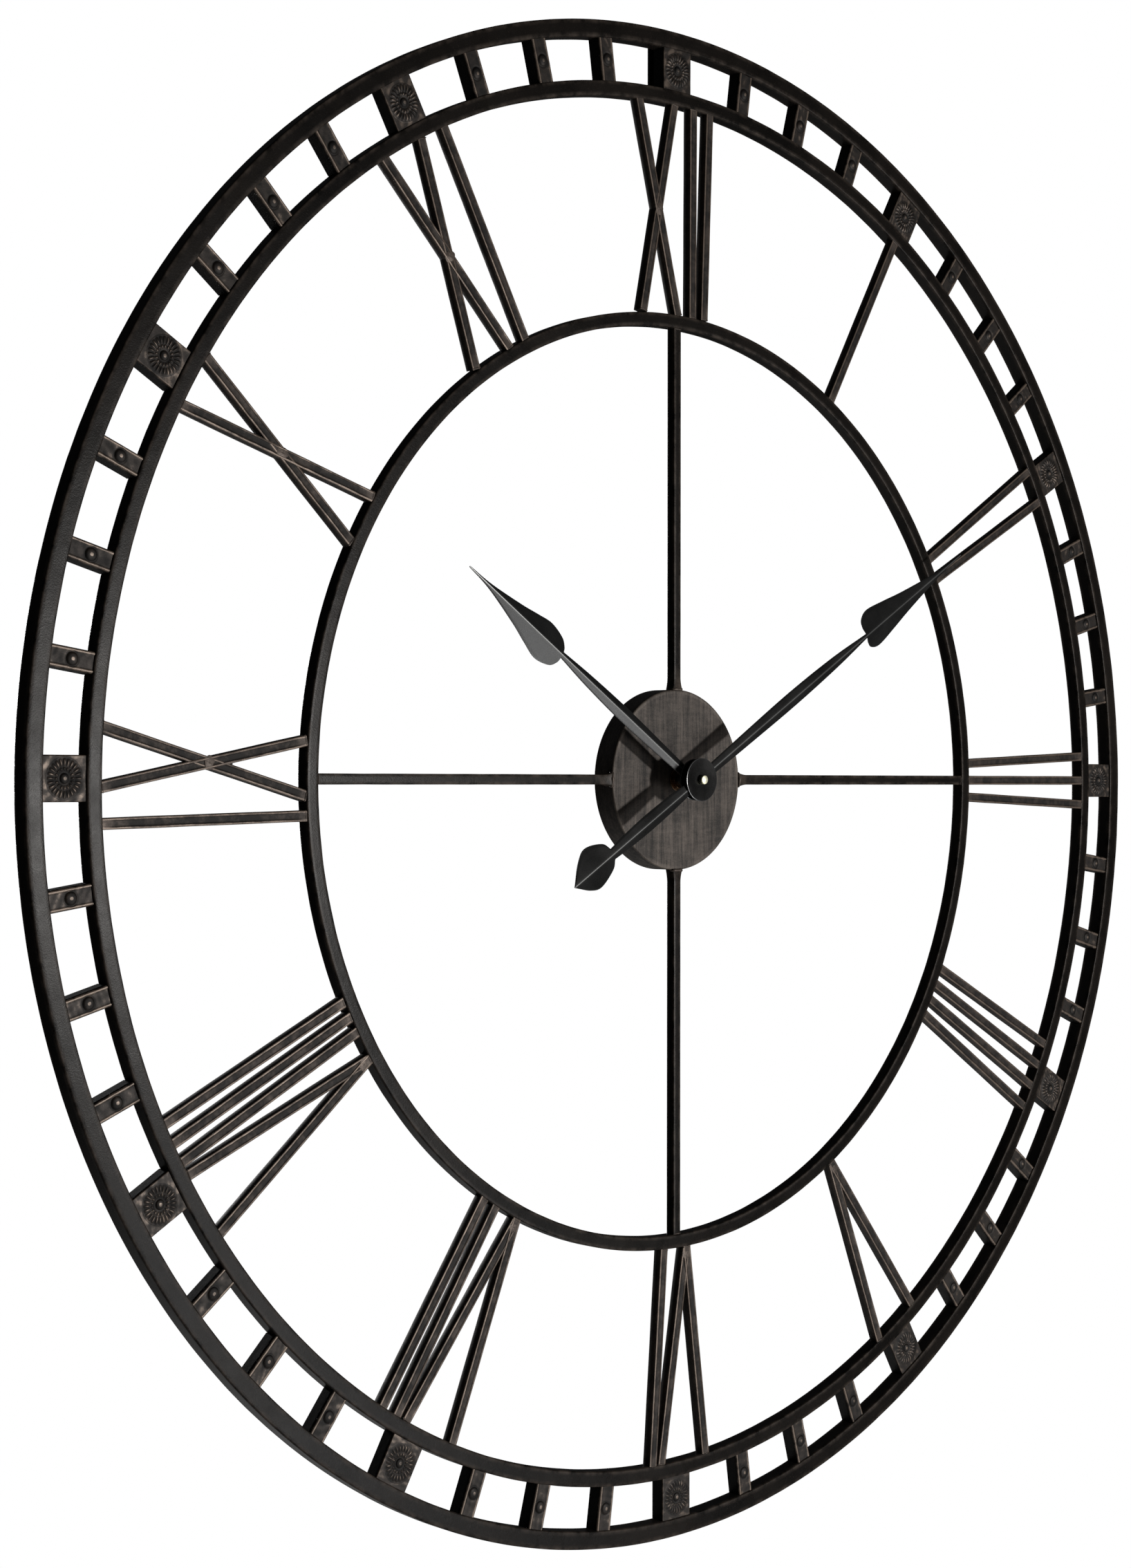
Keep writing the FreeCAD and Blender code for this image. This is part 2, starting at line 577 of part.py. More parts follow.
# the train's planes, as distances in front of the cover's inner face
BEARING = 1.0                # height of the bearing bosses on the cover
FRONT_BEARING = 1.5          # and on the case's front wall
PIVOT = 0.7                  # length of a pivot inside its bearing
ROTOR_PLANE = 1.5            # intermediate wheel with rotor pinion
SECONDS_PLANE = 3.3          # seconds wheel with intermediate pinion
THIRD_PLANE = 5.1            # third wheel with seconds pinion
CENTRE_PLANE = 7.3           # centre wheel with third pinion
CANNON_PLANE = 9.5           # cannon pinion, minute wheel and setting pinion
HOUR_PLANE = 11.7            # hour wheel with minute pinion
WHEEL = 0.7                  # thickness of a wheel
THICK_WHEEL = 1.0            # centre, minute and hour wheels
OVERRUN = 0.4                # how far a pinion reaches past the wheel that it drives
AXIAL_GAP = 0.3              # between a wheel and the wall or washer in front of it
MAGNET_PLANE = SECONDS_PLANE - (MAGNET_LENGTH - STATOR_SHEET) / 2   # magnet centred in the stator
TRAIN_ARBORS = (THIRD, SECONDS, INTERMEDIATE, ROTOR)


def plane(distance):
    return COVER_FRONT + distance


def arbor(at, radius=ARBOR_RADIUS):
    """A plain arbor between the cover's bosses and the case's, with a pivot at each end."""
    back = COVER_FRONT + BEARING + ASSEMBLY_GAP
    front = FLOOR - FRONT_BEARING - ASSEMBLY_GAP
    pivots = rod(PIVOT_RADIUS, back - PIVOT, front + PIVOT, at)
    return fused([rod(radius, back, front, at), pivots])


def train_wheel(at, teeth, module, wheel_plane, pinion, pinion_module, pinion_plane, pinion_phase):
    """A wheel and a pinion on one arbor, moulded in one piece."""
    wheel = gear(teeth, module, plane(wheel_plane), plane(wheel_plane) + WHEEL, at)
    leaf = gear(pinion, pinion_module, plane(pinion_plane) - OVERRUN,
                plane(pinion_plane) + THICK_WHEEL + OVERRUN, at, pinion_phase)
    return fused([wheel, leaf, arbor(at)])


def third_wheel():
    phase = meshed(0, CENTRE_TEETH, CENTRE_TO_THIRD, THIRD_PINION)
    return train_wheel(THIRD, THIRD_TEETH, THIRD_MODULE, THIRD_PLANE, THIRD_PINION, GOING_MODULE,
                       CENTRE_PLANE, phase)


def seconds_wheel():
    phase = meshed(0, THIRD_TEETH, THIRD_TO_SECONDS, SECONDS_PINION)
    return train_wheel(SECONDS, SECONDS_TEETH, SECONDS_MODULE, SECONDS_PLANE, SECONDS_PINION,
                       THIRD_MODULE, THIRD_PLANE, phase)


def intermediate_wheel():
    phase = meshed(0, SECONDS_TEETH, SECONDS_TO_INTERMEDIATE, INTERMEDIATE_PINION)
    return train_wheel(INTERMEDIATE, INTERMEDIATE_TEETH, ROTOR_MODULE, ROTOR_PLANE, INTERMEDIATE_PINION,
                       SECONDS_MODULE, SECONDS_PLANE, phase)


def rotor():
    """Magnet and pinion of the stepping motor."""
    phase = meshed(0, INTERMEDIATE_TEETH, INTERMEDIATE_TO_ROTOR, ROTOR_PINION)
    back = plane(ROTOR_PLANE)
    pinion = gear(ROTOR_PINION, ROTOR_MODULE, back - AXIAL_GAP, back + WHEEL + OVERRUN, ROTOR, phase)
    magnet = rod(MAGNET_RADIUS, plane(MAGNET_PLANE), plane(MAGNET_PLANE) + MAGNET_LENGTH, ROTOR)
    return fused([pinion, magnet, arbor(ROTOR)])


def centre_wheel():
    """Centre wheel and cannon pinion on the long minute arbor."""
    wheel = gear(CENTRE_TEETH, GOING_MODULE, plane(CENTRE_PLANE), plane(CENTRE_PLANE) + THICK_WHEEL)
    cannon_end = plane(CANNON_PLANE) + THICK_WHEEL + OVERRUN
    cannon = gear(CANNON_TEETH, CANNON_MODULE, plane(CENTRE_PLANE), cannon_end)
    inner = rod(CENTRE_ARBOR_RADIUS, COVER_FRONT + BEARING + ASSEMBLY_GAP, cannon_end)
    shaft = rod(SHAFT_RADIUS, cannon_end, SHAFT_END)
    pivot = rod(PIVOT_RADIUS, COVER_FRONT + BEARING - PIVOT, COVER_FRONT + BEARING + PIVOT)
    return fused([wheel, cannon, inner, shaft, pivot])


def minute_wheel():
    """Motion-work wheel and pinion that turn on a stud of the case."""
    phase = meshed(0, CANNON_TEETH, CENTRE_TO_MINUTE, MINUTE_TEETH)
    wheel = gear(MINUTE_TEETH, CANNON_MODULE, plane(CANNON_PLANE), plane(CANNON_PLANE) + THICK_WHEEL,
                 MINUTE, phase)
    pinion = gear(MINUTE_PINION, MOTION_MODULE, plane(CANNON_PLANE), FLOOR - AXIAL_GAP, MINUTE)
    bore = rod(STUD_RADIUS + RUNNING_CLEARANCE, COVER_FRONT, CASE_FRONT, MINUTE)
    return fused([wheel, pinion]).cut(bore)


def hour_wheel():
    """Hour wheel on the tube that carries the hour hand."""
    phase = meshed(0, MINUTE_PINION, CENTRE_TO_MINUTE + 180, HOUR_TEETH)
    back = plane(HOUR_PLANE)
    wheel = gear(HOUR_TEETH, MOTION_MODULE, back, back + THICK_WHEEL, CENTRE, phase)
    tube = rod(TUBE_RADIUS, back, HOUR_DISC_FRONT - ASSEMBLY_GAP)
    return fused([wheel, tube]).cut(rod(SHAFT_RADIUS + RUNNING_CLEARANCE, COVER_FRONT, MINUTE_RIDGE))


def setting_knob():
    """Ribbed thumb knob behind the cover, its arbor and the pinion that turns the minute wheel."""
    minute_phase = meshed(0, CANNON_TEETH, CENTRE_TO_MINUTE, MINUTE_TEETH)
    phase = meshed(minute_phase, MINUTE_TEETH, MINUTE_TO_SETTING, SETTING_PINION)
    pinion = gear(SETTING_PINION, CANNON_MODULE, plane(CANNON_PLANE) - OVERRUN / 2,
                  plane(CANNON_PLANE) + THICK_WHEEL + OVERRUN / 2, SETTING, phase)
    back = KNOB_WALL_GAP
    knob = rod(KNOB_RADIUS, back, back + KNOB_THICKNESS, SETTING)
    for number in range(KNOB_RIBS):
        at = beside(SETTING, KNOB_RADIUS + KNOB_NOTCH / 2, number * 360 / KNOB_RIBS)
        knob = knob.cut(rod(KNOB_NOTCH, back, back + KNOB_THICKNESS, at))
    front = FLOOR - FRONT_BEARING - ASSEMBLY_GAP
    shaft = rod(KNOB_ARBOR_RADIUS, back + KNOB_THICKNESS / 2, front, SETTING)
    pivot = rod(PIVOT_RADIUS, front - PIVOT, front + PIVOT, SETTING)
    return fused([knob, shaft, pinion, pivot])


# ---- movement case and what it holds -------------------------------------------------------------
def bearing(at, wall, height):
    """A boss of a height on a wall, negative for one that stands towards the cover, and the blind
    bearing hole in its end."""
    bore = PIVOT_RADIUS + RUNNING_CLEARANCE
    end = wall + height
    bottom = wall + math.copysign(BEARING_END, height)
    boss = rod(bore + BEARING_WALL, min(wall, end), max(wall, end), at)
    return boss, rod(bore, min(bottom, end), max(bottom, end), at)


def movement_case():
    """Front shell with the threaded bushing, the wall over the cell and the front bearings."""
    half = CASE_WIDTH / 2
    shell = box(-half, half, CASE_BACK, CASE_FRONT, CASE_BOTTOM, CASE_TOP)
    upright = [e for e in shell.Edges if abs(e.Vertexes[0].Y - e.Vertexes[-1].Y) > CASE_DEPTH / 2]
    shell = shell.makeFillet(CASE_EDGE, upright)
    inside = half - CASE_WALL
    shell = shell.cut(box(-inside, inside, CASE_BACK, FLOOR, CASE_BOTTOM + CASE_WALL, CASE_TOP - CASE_WALL))
    partition = box(-inside, inside, COVER_FRONT, FLOOR, BAY_TOP, BAY_TOP + BAY_WALL)
    bushing = rod(THREAD_RADIUS, FLOOR, BUSHING_END)
    stud = rod(STUD_RADIUS, plane(CANNON_PLANE) - ASSEMBLY_GAP, FLOOR, MINUTE)
    posts = [box(x, x + CASE_POST, COVER_FRONT, FLOOR, z, z + CASE_POST)
             for x in (-inside, inside - CASE_POST)
             for z in (BAY_TOP + BAY_WALL, CASE_TOP - CASE_WALL - CASE_POST)]
    bosses = []
    holes = [rod(TUBE_RADIUS + RUNNING_CLEARANCE, FLOOR, BUSHING_END)]
    for at in TRAIN_ARBORS + (SETTING,):
        boss, hole = bearing(at, FLOOR, -FRONT_BEARING)
        bosses.append(boss)
        holes.append(hole)
    body = fused([shell, partition, bushing, stud] + posts + bosses)
    for hole in holes:
        body = body.cut(hole)
    return body


def movement_cover():
    """Flat lid over the wheels, with the back bearings and a hole for the setting arbor."""
    side = CASE_WIDTH / 2 - CASE_WALL - ASSEMBLY_GAP
    top = CASE_TOP - CASE_WALL - ASSEMBLY_GAP
    lid = box(-side, side, CASE_BACK, COVER_FRONT, BAY_TOP, top)
    bosses = []
    holes = [rod(KNOB_ARBOR_RADIUS + RUNNING_CLEARANCE, CASE_BACK, COVER_FRONT + BEARING, SETTING)]
    for at in TRAIN_ARBORS + (CENTRE,):
        boss, hole = bearing(at, COVER_FRONT, BEARING)
        bosses.append(boss)
        holes.append(hole)
    body = fused([lid] + bosses)
    for hole in holes:
        body = body.cut(hole)
    return body


def cell():
    """Size AA cell lying across the bay, with its nub on the right."""
    end = CELL_LENGTH / 2
    can = Part.makeCylinder(CELL_RADIUS, CELL_LENGTH - CELL_NUB, Vector(-end, -CELL_HEIGHT, CELL_Z),
                            Vector(1, 0, 0))
    can = can.makeFillet(CELL_EDGE, [e for e in can.Edges if e.isClosed()])
    nub = Part.makeCylinder(CELL_NUB_RADIUS, CELL_NUB, Vector(end - CELL_NUB, -CELL_HEIGHT, CELL_Z),
                            Vector(1, 0, 0))
    return fused([can, nub])


def contacts():
    """A flat contact at the nub and a coned spring contact at the other end."""
    inside = CASE_WIDTH / 2 - CASE_WALL
    low = CELL_Z - CONTACT_HALF
    high = CELL_Z + CONTACT_HALF
    near = CELL_HEIGHT - CONTACT_HALF
    far = CELL_HEIGHT + CONTACT_HALF
    plus = box(inside - CONTACT_SHEET, inside, near, far, low, high)
    dimple = Part.makeCylinder(CONTACT_DIMPLE, inside - CONTACT_SHEET - CELL_LENGTH / 2,
                               Vector(CELL_LENGTH / 2, -CELL_HEIGHT, CELL_Z), Vector(1, 0, 0))
    minus = box(-inside, -inside + CONTACT_SHEET, near, far, low, high)
    cone = Part.makeCone(SPRING_FOOT, CONTACT_DIMPLE, inside - CONTACT_SHEET - CELL_LENGTH / 2,
                         Vector(-inside + CONTACT_SHEET, -CELL_HEIGHT, CELL_Z), Vector(1, 0, 0))
    return fused([plus, dimple]), fused([minus, cone])


COIL_Z = ROTOR[1] - COIL_DROP
COIL_RIGHT = ROTOR[0] - COIL_OFFSET
COIL_LEFT = COIL_RIGHT - COIL_LENGTH
STATOR_BACK = plane(SECONDS_PLANE)


def stator():
    """Soft-iron plate round the rotor, with a core through the coil and a return arm over it."""
    low = BAY_TOP + BAY_WALL + ASSEMBLY_GAP
    high = ROTOR[1] + STATOR_BORE + STATOR_RIM
    front = STATOR_BACK + STATOR_SHEET
    start = COIL_RIGHT + STATOR_RIM
    end = COIL_LEFT - ASSEMBLY_GAP - STATOR_RIM
    plate = box(start, ROTOR[0] + STATOR_BORE + STATOR_RIM, STATOR_BACK, front, low, high)
    core = box(end, start, STATOR_BACK, front, COIL_Z - CORE_HALF, COIL_Z + CORE_HALF)
    arm = box(end, start, STATOR_BACK, front, high - STATOR_RIM, high)
    post = box(end, end + STATOR_RIM, STATOR_BACK, front, COIL_Z - CORE_HALF, high)
    return fused([plate, core, arm, post]).cut(rod(STATOR_BORE, STATOR_BACK, front, ROTOR))


def coil():
    """Wound bobbin with square cheeks on the stator's core."""
    middle = STATOR_BACK + STATOR_SHEET / 2
    side = BOBBIN_SIDE / 2
    winding = Part.makeCylinder(COIL_RADIUS, COIL_RIGHT - COIL_LEFT, Vector(COIL_LEFT, -middle, COIL_Z),
                                Vector(1, 0, 0))
    cheeks = [box(x, x + BOBBIN_CHEEK, middle - side, middle + side, COIL_Z - side, COIL_Z + side)
              for x in (COIL_LEFT, COIL_RIGHT - BOBBIN_CHEEK)]
    slot = box(COIL_LEFT, COIL_RIGHT, STATOR_BACK, STATOR_BACK + STATOR_SHEET, COIL_Z - CORE_HALF,
               COIL_Z + CORE_HALF)
    return fused([winding] + cheeks).cut(slot)


def circuit_board():
    """Small board with the driver chip and the crystal can, in front of the coil."""
    left = -CASE_WIDTH / 2 + CASE_WALL + BOARD_GAP
    low = BAY_TOP + BAY_WALL + BOARD_LIFT
    back = plane(CANNON_PLANE)
    front = back + BOARD_THICKNESS
    board = box(left, left + BOARD_WIDTH, back, front, low, low + BOARD_HEIGHT)
    chip_x = left + CHIP_INSET[0]
    chip_z = low + CHIP_INSET[1]
    chip = box(chip_x, chip_x + CHIP_SIDE, front, front + CHIP_HEIGHT, chip_z, chip_z + CHIP_SIDE)
    can_x = left + CRYSTAL_INSET[0]
    can_z = low + CRYSTAL_INSET[1]
    crystal = Part.makeCylinder(CRYSTAL_RADIUS, CRYSTAL_LENGTH,
                                Vector(can_x, -(front + CRYSTAL_RADIUS), can_z), Vector(1, 0, 0))
    pad = box(can_x, can_x + CRYSTAL_LENGTH, front, front + PAD_HEIGHT, can_z - PAD_HALF, can_z + PAD_HALF)
    return fused([board, chip, crystal, pad])


def nut():
    """Hexagonal nut that clamps the movement to the drum."""
    back = HUB_FRONT + WASHER_THICKNESS
    corner = NUT_ACROSS_FLATS / 2 / math.cos(math.radians(30))
    points = [beside(CENTRE, corner, 60 * side) for side in range(7)]
    outline = Part.makePolygon([Vector(x, -back, z) for x, z in points])
    body = Part.Face(outline).extrude(Vector(0, -NUT_THICKNESS, 0))
    narrow = corner - NUT_CHAMFER
    wide = narrow + NUT_THICKNESS * NUT_CHAMFER_SLOPE
    chamfer = Part.makeCone(wide, narrow, NUT_THICKNESS, Vector(0, -back, 0), Vector(0, -1, 0))
    return body.common(chamfer).cut(rod(THREAD_RADIUS, back, back + NUT_THICKNESS))


os.makedirs("parts", exist_ok=True)

export("outer_ring", square_ring(OUTER_RADIUS, OUTER_TUBE))
export("chapter_ring", square_ring(CHAPTER_RADIUS, CHAPTER_TUBE))
export("inner_ring", square_ring(INNER_RADIUS, INNER_TUBE))
export("hub_drum", hub_drum())
for hour in SPOKE_HOURS:
    export(f"spoke_{hour:02d}", turned(spoke(), HOUR_STEP * hour))
for hour, letters in NUMERALS.items():
    export(f"numeral_{hour:02d}", *[turned(letter(*each), HOUR_STEP * hour) for each in letters])
for hour in range(1, 13):
    export(f"rosette_{hour:02d}", turned(rosette(), HOUR_STEP * hour))
for quarter, name in enumerate(("12_to_3", "3_to_6", "6_to_9", "9_to_12")):
    angles = [HOUR_STEP * (3 * quarter + hour) + angle for hour in range(3) for angle in marker_angles()]
    export("markers_" + name, *[turned(marker(), angle) for angle in angles])
export("keyhole_hanger", hanger())

export("rubber_gasket", collar(GASKET_RADIUS, THREAD_HOLE, CASE_FRONT, HUB_BACK_OF_FACE))
export("brass_washer", collar(WASHER_RADIUS, THREAD_HOLE, HUB_FRONT, HUB_FRONT + WASHER_THICKNESS))
export("bushing_nut", nut())
export("movement_case", movement_case())
export("movement_cover", movement_cover())
export("battery_cell", cell())
export("battery_contacts", *contacts())
export("stator", stator())
export("coil", coil())
export("circuit_board", circuit_board())
export("rotor", rotor())
export("intermediate_wheel", intermediate_wheel())
export("seconds_wheel", seconds_wheel())
export("third_wheel", third_wheel())
export("centre_wheel", centre_wheel())
export("minute_wheel", minute_wheel())
export("hour_wheel", hour_wheel())
export("setting_knob", setting_knob())
export("hour_hand", hour_hand())
export("hour_hand_disc", hand_hub(HOUR_RIDGE, HOUR_SLEEVE, HOUR_DISC_RADIUS, TUBE_RADIUS))
export("minute_hand", minute_hand())
export("minute_hand_disc", hand_hub(MINUTE_RIDGE, MINUTE_SLEEVE, MINUTE_DISC_RADIUS, SHAFT_RADIUS))
export("shaft_cap", shaft_cap())
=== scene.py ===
"""Looks of the skeleton wall clock: worn iron rings, bronzed numerals and tiles, and folded hands.

Metres, in the part's frame: +X right and +Z up for someone facing the dial, +Y into the wall.
Pieces are drawn in a dial frame of (x, height off the wall, z), with z away from the centre, and
are turned clockwise to their clock angle.
"""
import json
import math

import bmesh
import bpy
import numpy as np
from mathutils import Matrix, Vector


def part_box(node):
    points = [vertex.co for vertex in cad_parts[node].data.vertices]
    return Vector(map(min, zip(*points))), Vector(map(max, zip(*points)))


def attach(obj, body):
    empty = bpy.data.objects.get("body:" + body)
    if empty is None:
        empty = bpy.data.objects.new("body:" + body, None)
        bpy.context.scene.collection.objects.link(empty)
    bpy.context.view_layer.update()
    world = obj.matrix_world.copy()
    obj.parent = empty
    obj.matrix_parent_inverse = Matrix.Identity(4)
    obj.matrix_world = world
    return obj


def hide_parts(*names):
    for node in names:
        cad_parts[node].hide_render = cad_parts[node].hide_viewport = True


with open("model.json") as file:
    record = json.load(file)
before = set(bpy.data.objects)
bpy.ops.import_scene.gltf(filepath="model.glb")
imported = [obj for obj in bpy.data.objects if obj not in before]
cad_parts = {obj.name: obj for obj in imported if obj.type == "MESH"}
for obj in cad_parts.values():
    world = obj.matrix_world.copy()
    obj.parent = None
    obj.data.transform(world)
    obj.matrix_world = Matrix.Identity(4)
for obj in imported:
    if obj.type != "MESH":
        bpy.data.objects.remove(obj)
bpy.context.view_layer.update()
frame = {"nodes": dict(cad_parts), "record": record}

MM = 0.001
TAU = 2 * math.pi


# ---- sizes read from the frame ----
def front_of(node):
    """Height of a node's front off the wall."""
    return -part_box(node)[0].y


def back_of(node):
    """Height of a node's back off the wall."""
    return -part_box(node)[1].y


def outer_radius(node):
    """Reach of a node from the dial's axis, for one that is centred on it."""
    low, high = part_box(node)
    return max(high.x, high.z, -low.x, -low.z)


RING_FRONT = front_of("outer_ring")
OUTER_RADIUS = outer_radius("outer_ring")
OUTER_TUBE = RING_FRONT - back_of("outer_ring")
CHAPTER_RADIUS = outer_radius("chapter_ring")
CHAPTER_TUBE = RING_FRONT - back_of("chapter_ring")
INNER_RADIUS = outer_radius("inner_ring")
INNER_TUBE = RING_FRONT - back_of("inner_ring")
OUTER_INSIDE = OUTER_RADIUS - OUTER_TUBE
CHAPTER_INSIDE = CHAPTER_RADIUS - CHAPTER_TUBE
INNER_INSIDE = INNER_RADIUS - INNER_TUBE
HUB_RADIUS = outer_radius("hub_drum")
HUB_FRONT = front_of("hub_drum")
SPOKE_FRONT = front_of("spoke_12")
SPOKE_WIDTH = SPOKE_FRONT - back_of("spoke_12")
BAR_FRONT = front_of("numeral_12")
BAR_WIDTH = BAR_FRONT - back_of("numeral_12")
ROSETTE_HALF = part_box("rosette_12")[1].x
MARKER_HALF = 7.5 * MM       # each node of markers holds nine tiles, so its box gives no width
MARKERS_PER_HOUR = 3
TILE_BACK = back_of("rosette_12")
TILE_FRONT = RING_FRONT - 1.5 * MM
TILE_MIDDLE = (CHAPTER_RADIUS + OUTER_INSIDE) / 2
HOUR_RIDGE = front_of("hour_hand")
MINUTE_RIDGE = front_of("minute_hand")
HOUR_DISC_FRONT = front_of("hour_hand_disc")
MINUTE_DISC_FRONT = front_of("minute_hand_disc")
HOUR_DISC_RADIUS = outer_radius("hour_hand_disc")
MINUTE_DISC_RADIUS = outer_radius("minute_hand_disc")
CAP_FRONT = front_of("shaft_cap")
CAP_RADIUS = outer_radius("shaft_cap")
WASHER_FRONT = front_of("brass_washer")
WASHER_RADIUS = outer_radius("brass_washer")
NUT_FRONT = front_of("bushing_nut")
NUT_CORNER = outer_radius("bushing_nut")
BUSHING_END = front_of("movement_case")

# ---- sizes of the finish ----
TUBE_CORNER = 1.2 * MM
BAR_CORNER = 0.7 * MM
GROOVE_HALF = 2.3 * MM
GROOVE_DEPTH = 0.5 * MM
GROOVE_START = 3.85 * MM     # flat stretch at each end of a stroke
GROOVE_FADE = 7 * MM         # over which its sunken line then deepens
STROKE_SET_BACK = 0.25 * MM  # the second stroke of an X or a V behind the first
SINK = 0.8 * MM              # how far ends run into the pieces that they are welded to
SPOKE_WELD_LENGTH = 10 * MM  # where a spoke flares into the drum
SPOKE_WELD_FLARE = 0.42      # share by which it is wider there
SPOKE_WELD_RISE = 0.6 * MM
SPOKE_RUB_LENGTH = 34 * MM
TILE_WALL = 1.2 * MM
TILE_ROLL = 0.9 * MM
ROSETTE_STEP = 0.3 * MM      # spacing of a tile's mesh
MARKER_STEP = 0.45 * MM
DRUM_SHEET = 1.2 * MM
DRUM_EDGE = 1.5 * MM
HAND_SHEET = 0.9 * MM
HAND_SLOPE = math.tan(math.radians(17))      # fall of each facet from the ridge
EYE_RADIUS = 9.0 * MM
SLEEVE_RADIUS = 5.0 * MM
HOUR_SLEEVE = 4.0 * MM
MINUTE_SLEEVE = 5.3 * MM
THREAD_RADIUS = 4.0 * MM
THREAD_CLEARANCE = 0.1 * MM
THREAD_PITCH = 0.8 * MM
SHAFT_RADIUS = 2.05 * MM     # minute arbor
TUBE_RADIUS = 3.0 * MM       # outside of the hour tube round it
HOUR_ANGLE = 303.5
MINUTE_ANGLE = 59.0
SPOKE_HOURS = (12, 3, 6, 9)
BAR_SETS = {                 # letters of each numeral: kind, centre at the head and at the foot, mm
    1: [("I", 0, 0)],
    2: [("I", -15.5, -10), ("I", 15.5, 10)],
    3: [("I", -22.5, -15), ("I", 0, 0), ("I", 22.5, 15)],
    4: [("I", -31.5, -22.5), ("I", -10.5, -7.5), ("I", 10.5, 7.5), ("I", 31.5, 22.5)],
    5: [("V", 0, 0)],
    6: [("V", -8, -11), ("I", 27, 14.5)],
    7: [("V", -15.5, -16.5), ("I", 20, 7.5), ("I", 35.5, 21)],
    8: [("V", -21.5, -16.5), ("I", 14, 6.5), ("I", 29, 19), ("I", 44.5, 31.5)],
    9: [("I", -30, -26), ("X", 14.5, 7.5)],
    10: [("X", 0, 0)],
    11: [("X", -17.5, -13), ("I", 27.5, 24)],
    12: [("X", -23.5, -19), ("I", 18, 17), ("I", 37, 30.5)],
}
X_HEAD, X_FOOT, V_HEAD = 40.5, 39.0, 50.0   # widths between stroke centres, mm

# Press work of the tiles: inner and outer radii of each band, and boss radii, mm
PETALS, BEADS = 24, 16
PETAL_BAND, BEAD_BAND, RIM_BAND = (7.6, 13.4), (4.9, 8.0), (13.0, 14.6)
ROSETTE_DISH, ROSETTE_BOSS = 5.0, 3.5
MARKER_STRIP, MARKER_MOAT, MARKER_BOSS = (4.7, 7.2), (4.2, 5.9), 4.5

# Points of a spade head: shares of its half width, and of the way along
SPADE_STEP, SPADE_STEP_RISE, SPADE_TIP = 0.45, 0.5, 0.4
SPADE_SHOULDER = (0.80, 0.28)
SPADE_TAPER = ((0.80, 0.17), (0.52, 0.37), (0.14, 0.73))


# ---- material helpers ----
class Nodes:
    """Short names for building one material's node tree."""

    def __init__(self, name):
        self.material = bpy.data.materials.new(name)
        self.material["slot"] = name
        self.material.use_nodes = True
        self.tree = self.material.node_tree
        self.shader = self.tree.nodes["Principled BSDF"]
        self.place = self.tree.nodes.new("ShaderNodeTexCoord").outputs["Object"]

    def add(self, kind, inputs=None, **settings):
        """A new node with its settings, and its inputs joined or given values."""
        node = self.tree.nodes.new(kind)
        for key, value in settings.items():
            setattr(node, key, value)
        for key, value in (inputs or {}).items():
            self.set(node.inputs[key], value)
        return node

    def set(self, socket, value):
        """Joins another node's socket to an input, or gives it a value."""
        if isinstance(value, bpy.types.NodeSocket):
            self.tree.links.new(value, socket)
        else:
            socket.default_value = value

    def noise(self, scale, detail=4, rough=0.6, stretch=(1, 1, 1), distortion=0.0):
        where = self.add("ShaderNodeMapping", {"Vector": self.place, "Scale": stretch})
        return self.add("ShaderNodeTexNoise", {"Vector": where.outputs[0], "Scale": scale,
                                               "Detail": detail, "Roughness": rough,
                                               "Distortion": distortion}).outputs["Fac"]

    def worn_and_highlit(self):
        """The value that the meshes carry: 1 on rubbed edges and where a highlight is painted (a hand's
        ridge and edges, a disc's rim, the top of a tile's boss), 0 in hollows.
        """
        return self.add("ShaderNodeAttribute", attribute_name="wear").outputs["Fac"]

    def math(self, operation, a, b=0.0, c=0.0, clamp=False):
        node = self.add("ShaderNodeMath", operation=operation, use_clamp=clamp)
        for socket, value in zip(node.inputs, (a, b, c)):
            self.set(socket, value)
        return node.outputs[0]

    def ramp(self, value, low, high, to=(0.0, 1.0)):
        """Carries low..high of a value over to another range, held at both ends."""
        node = self.add("ShaderNodeMapRange", {"Value": value, "From Min": low, "From Max": high,
                                               "To Min": to[0], "To Max": to[1]})
        return node.outputs[0]

    def mix(self, share, a, b):
        """Colour between a and b, each a socket or (r, g, b)."""
        node = self.add("ShaderNodeMix", data_type="RGBA")
        self.set(node.inputs["Factor"], share)
        self.set(node.inputs[6], a if isinstance(a, bpy.types.NodeSocket) else (*a, 1))
        self.set(node.inputs[7], b if isinstance(b, bpy.types.NodeSocket) else (*b, 1))
        return node.outputs[2]

    def bump(self, height, distance, strength=1.0, normal=None):
        node = self.add("ShaderNodeBump", {"Height": height, "Distance": distance, "Strength": strength})
        if normal is not None:
            self.set(node.inputs["Normal"], normal)
        return node.outputs[0]

    def finish(self, color, rough, metallic, normal=None, **sockets):
        """Joins everything to the shader. Other sockets are named with _ for each space."""
        self.set(self.shader.inputs["Base Color"], color if isinstance(color, bpy.types.NodeSocket)
                 else (*color, 1))
        self.set(self.shader.inputs["Roughness"], rough)
        self.shader.inputs["Metallic"].default_value = metallic
        if normal is not None:
            self.set(self.shader.inputs["Normal"], normal)
        for name, value in sockets.items():
            self.shader.inputs[name.replace("_", " ")].default_value = value
        return self.material


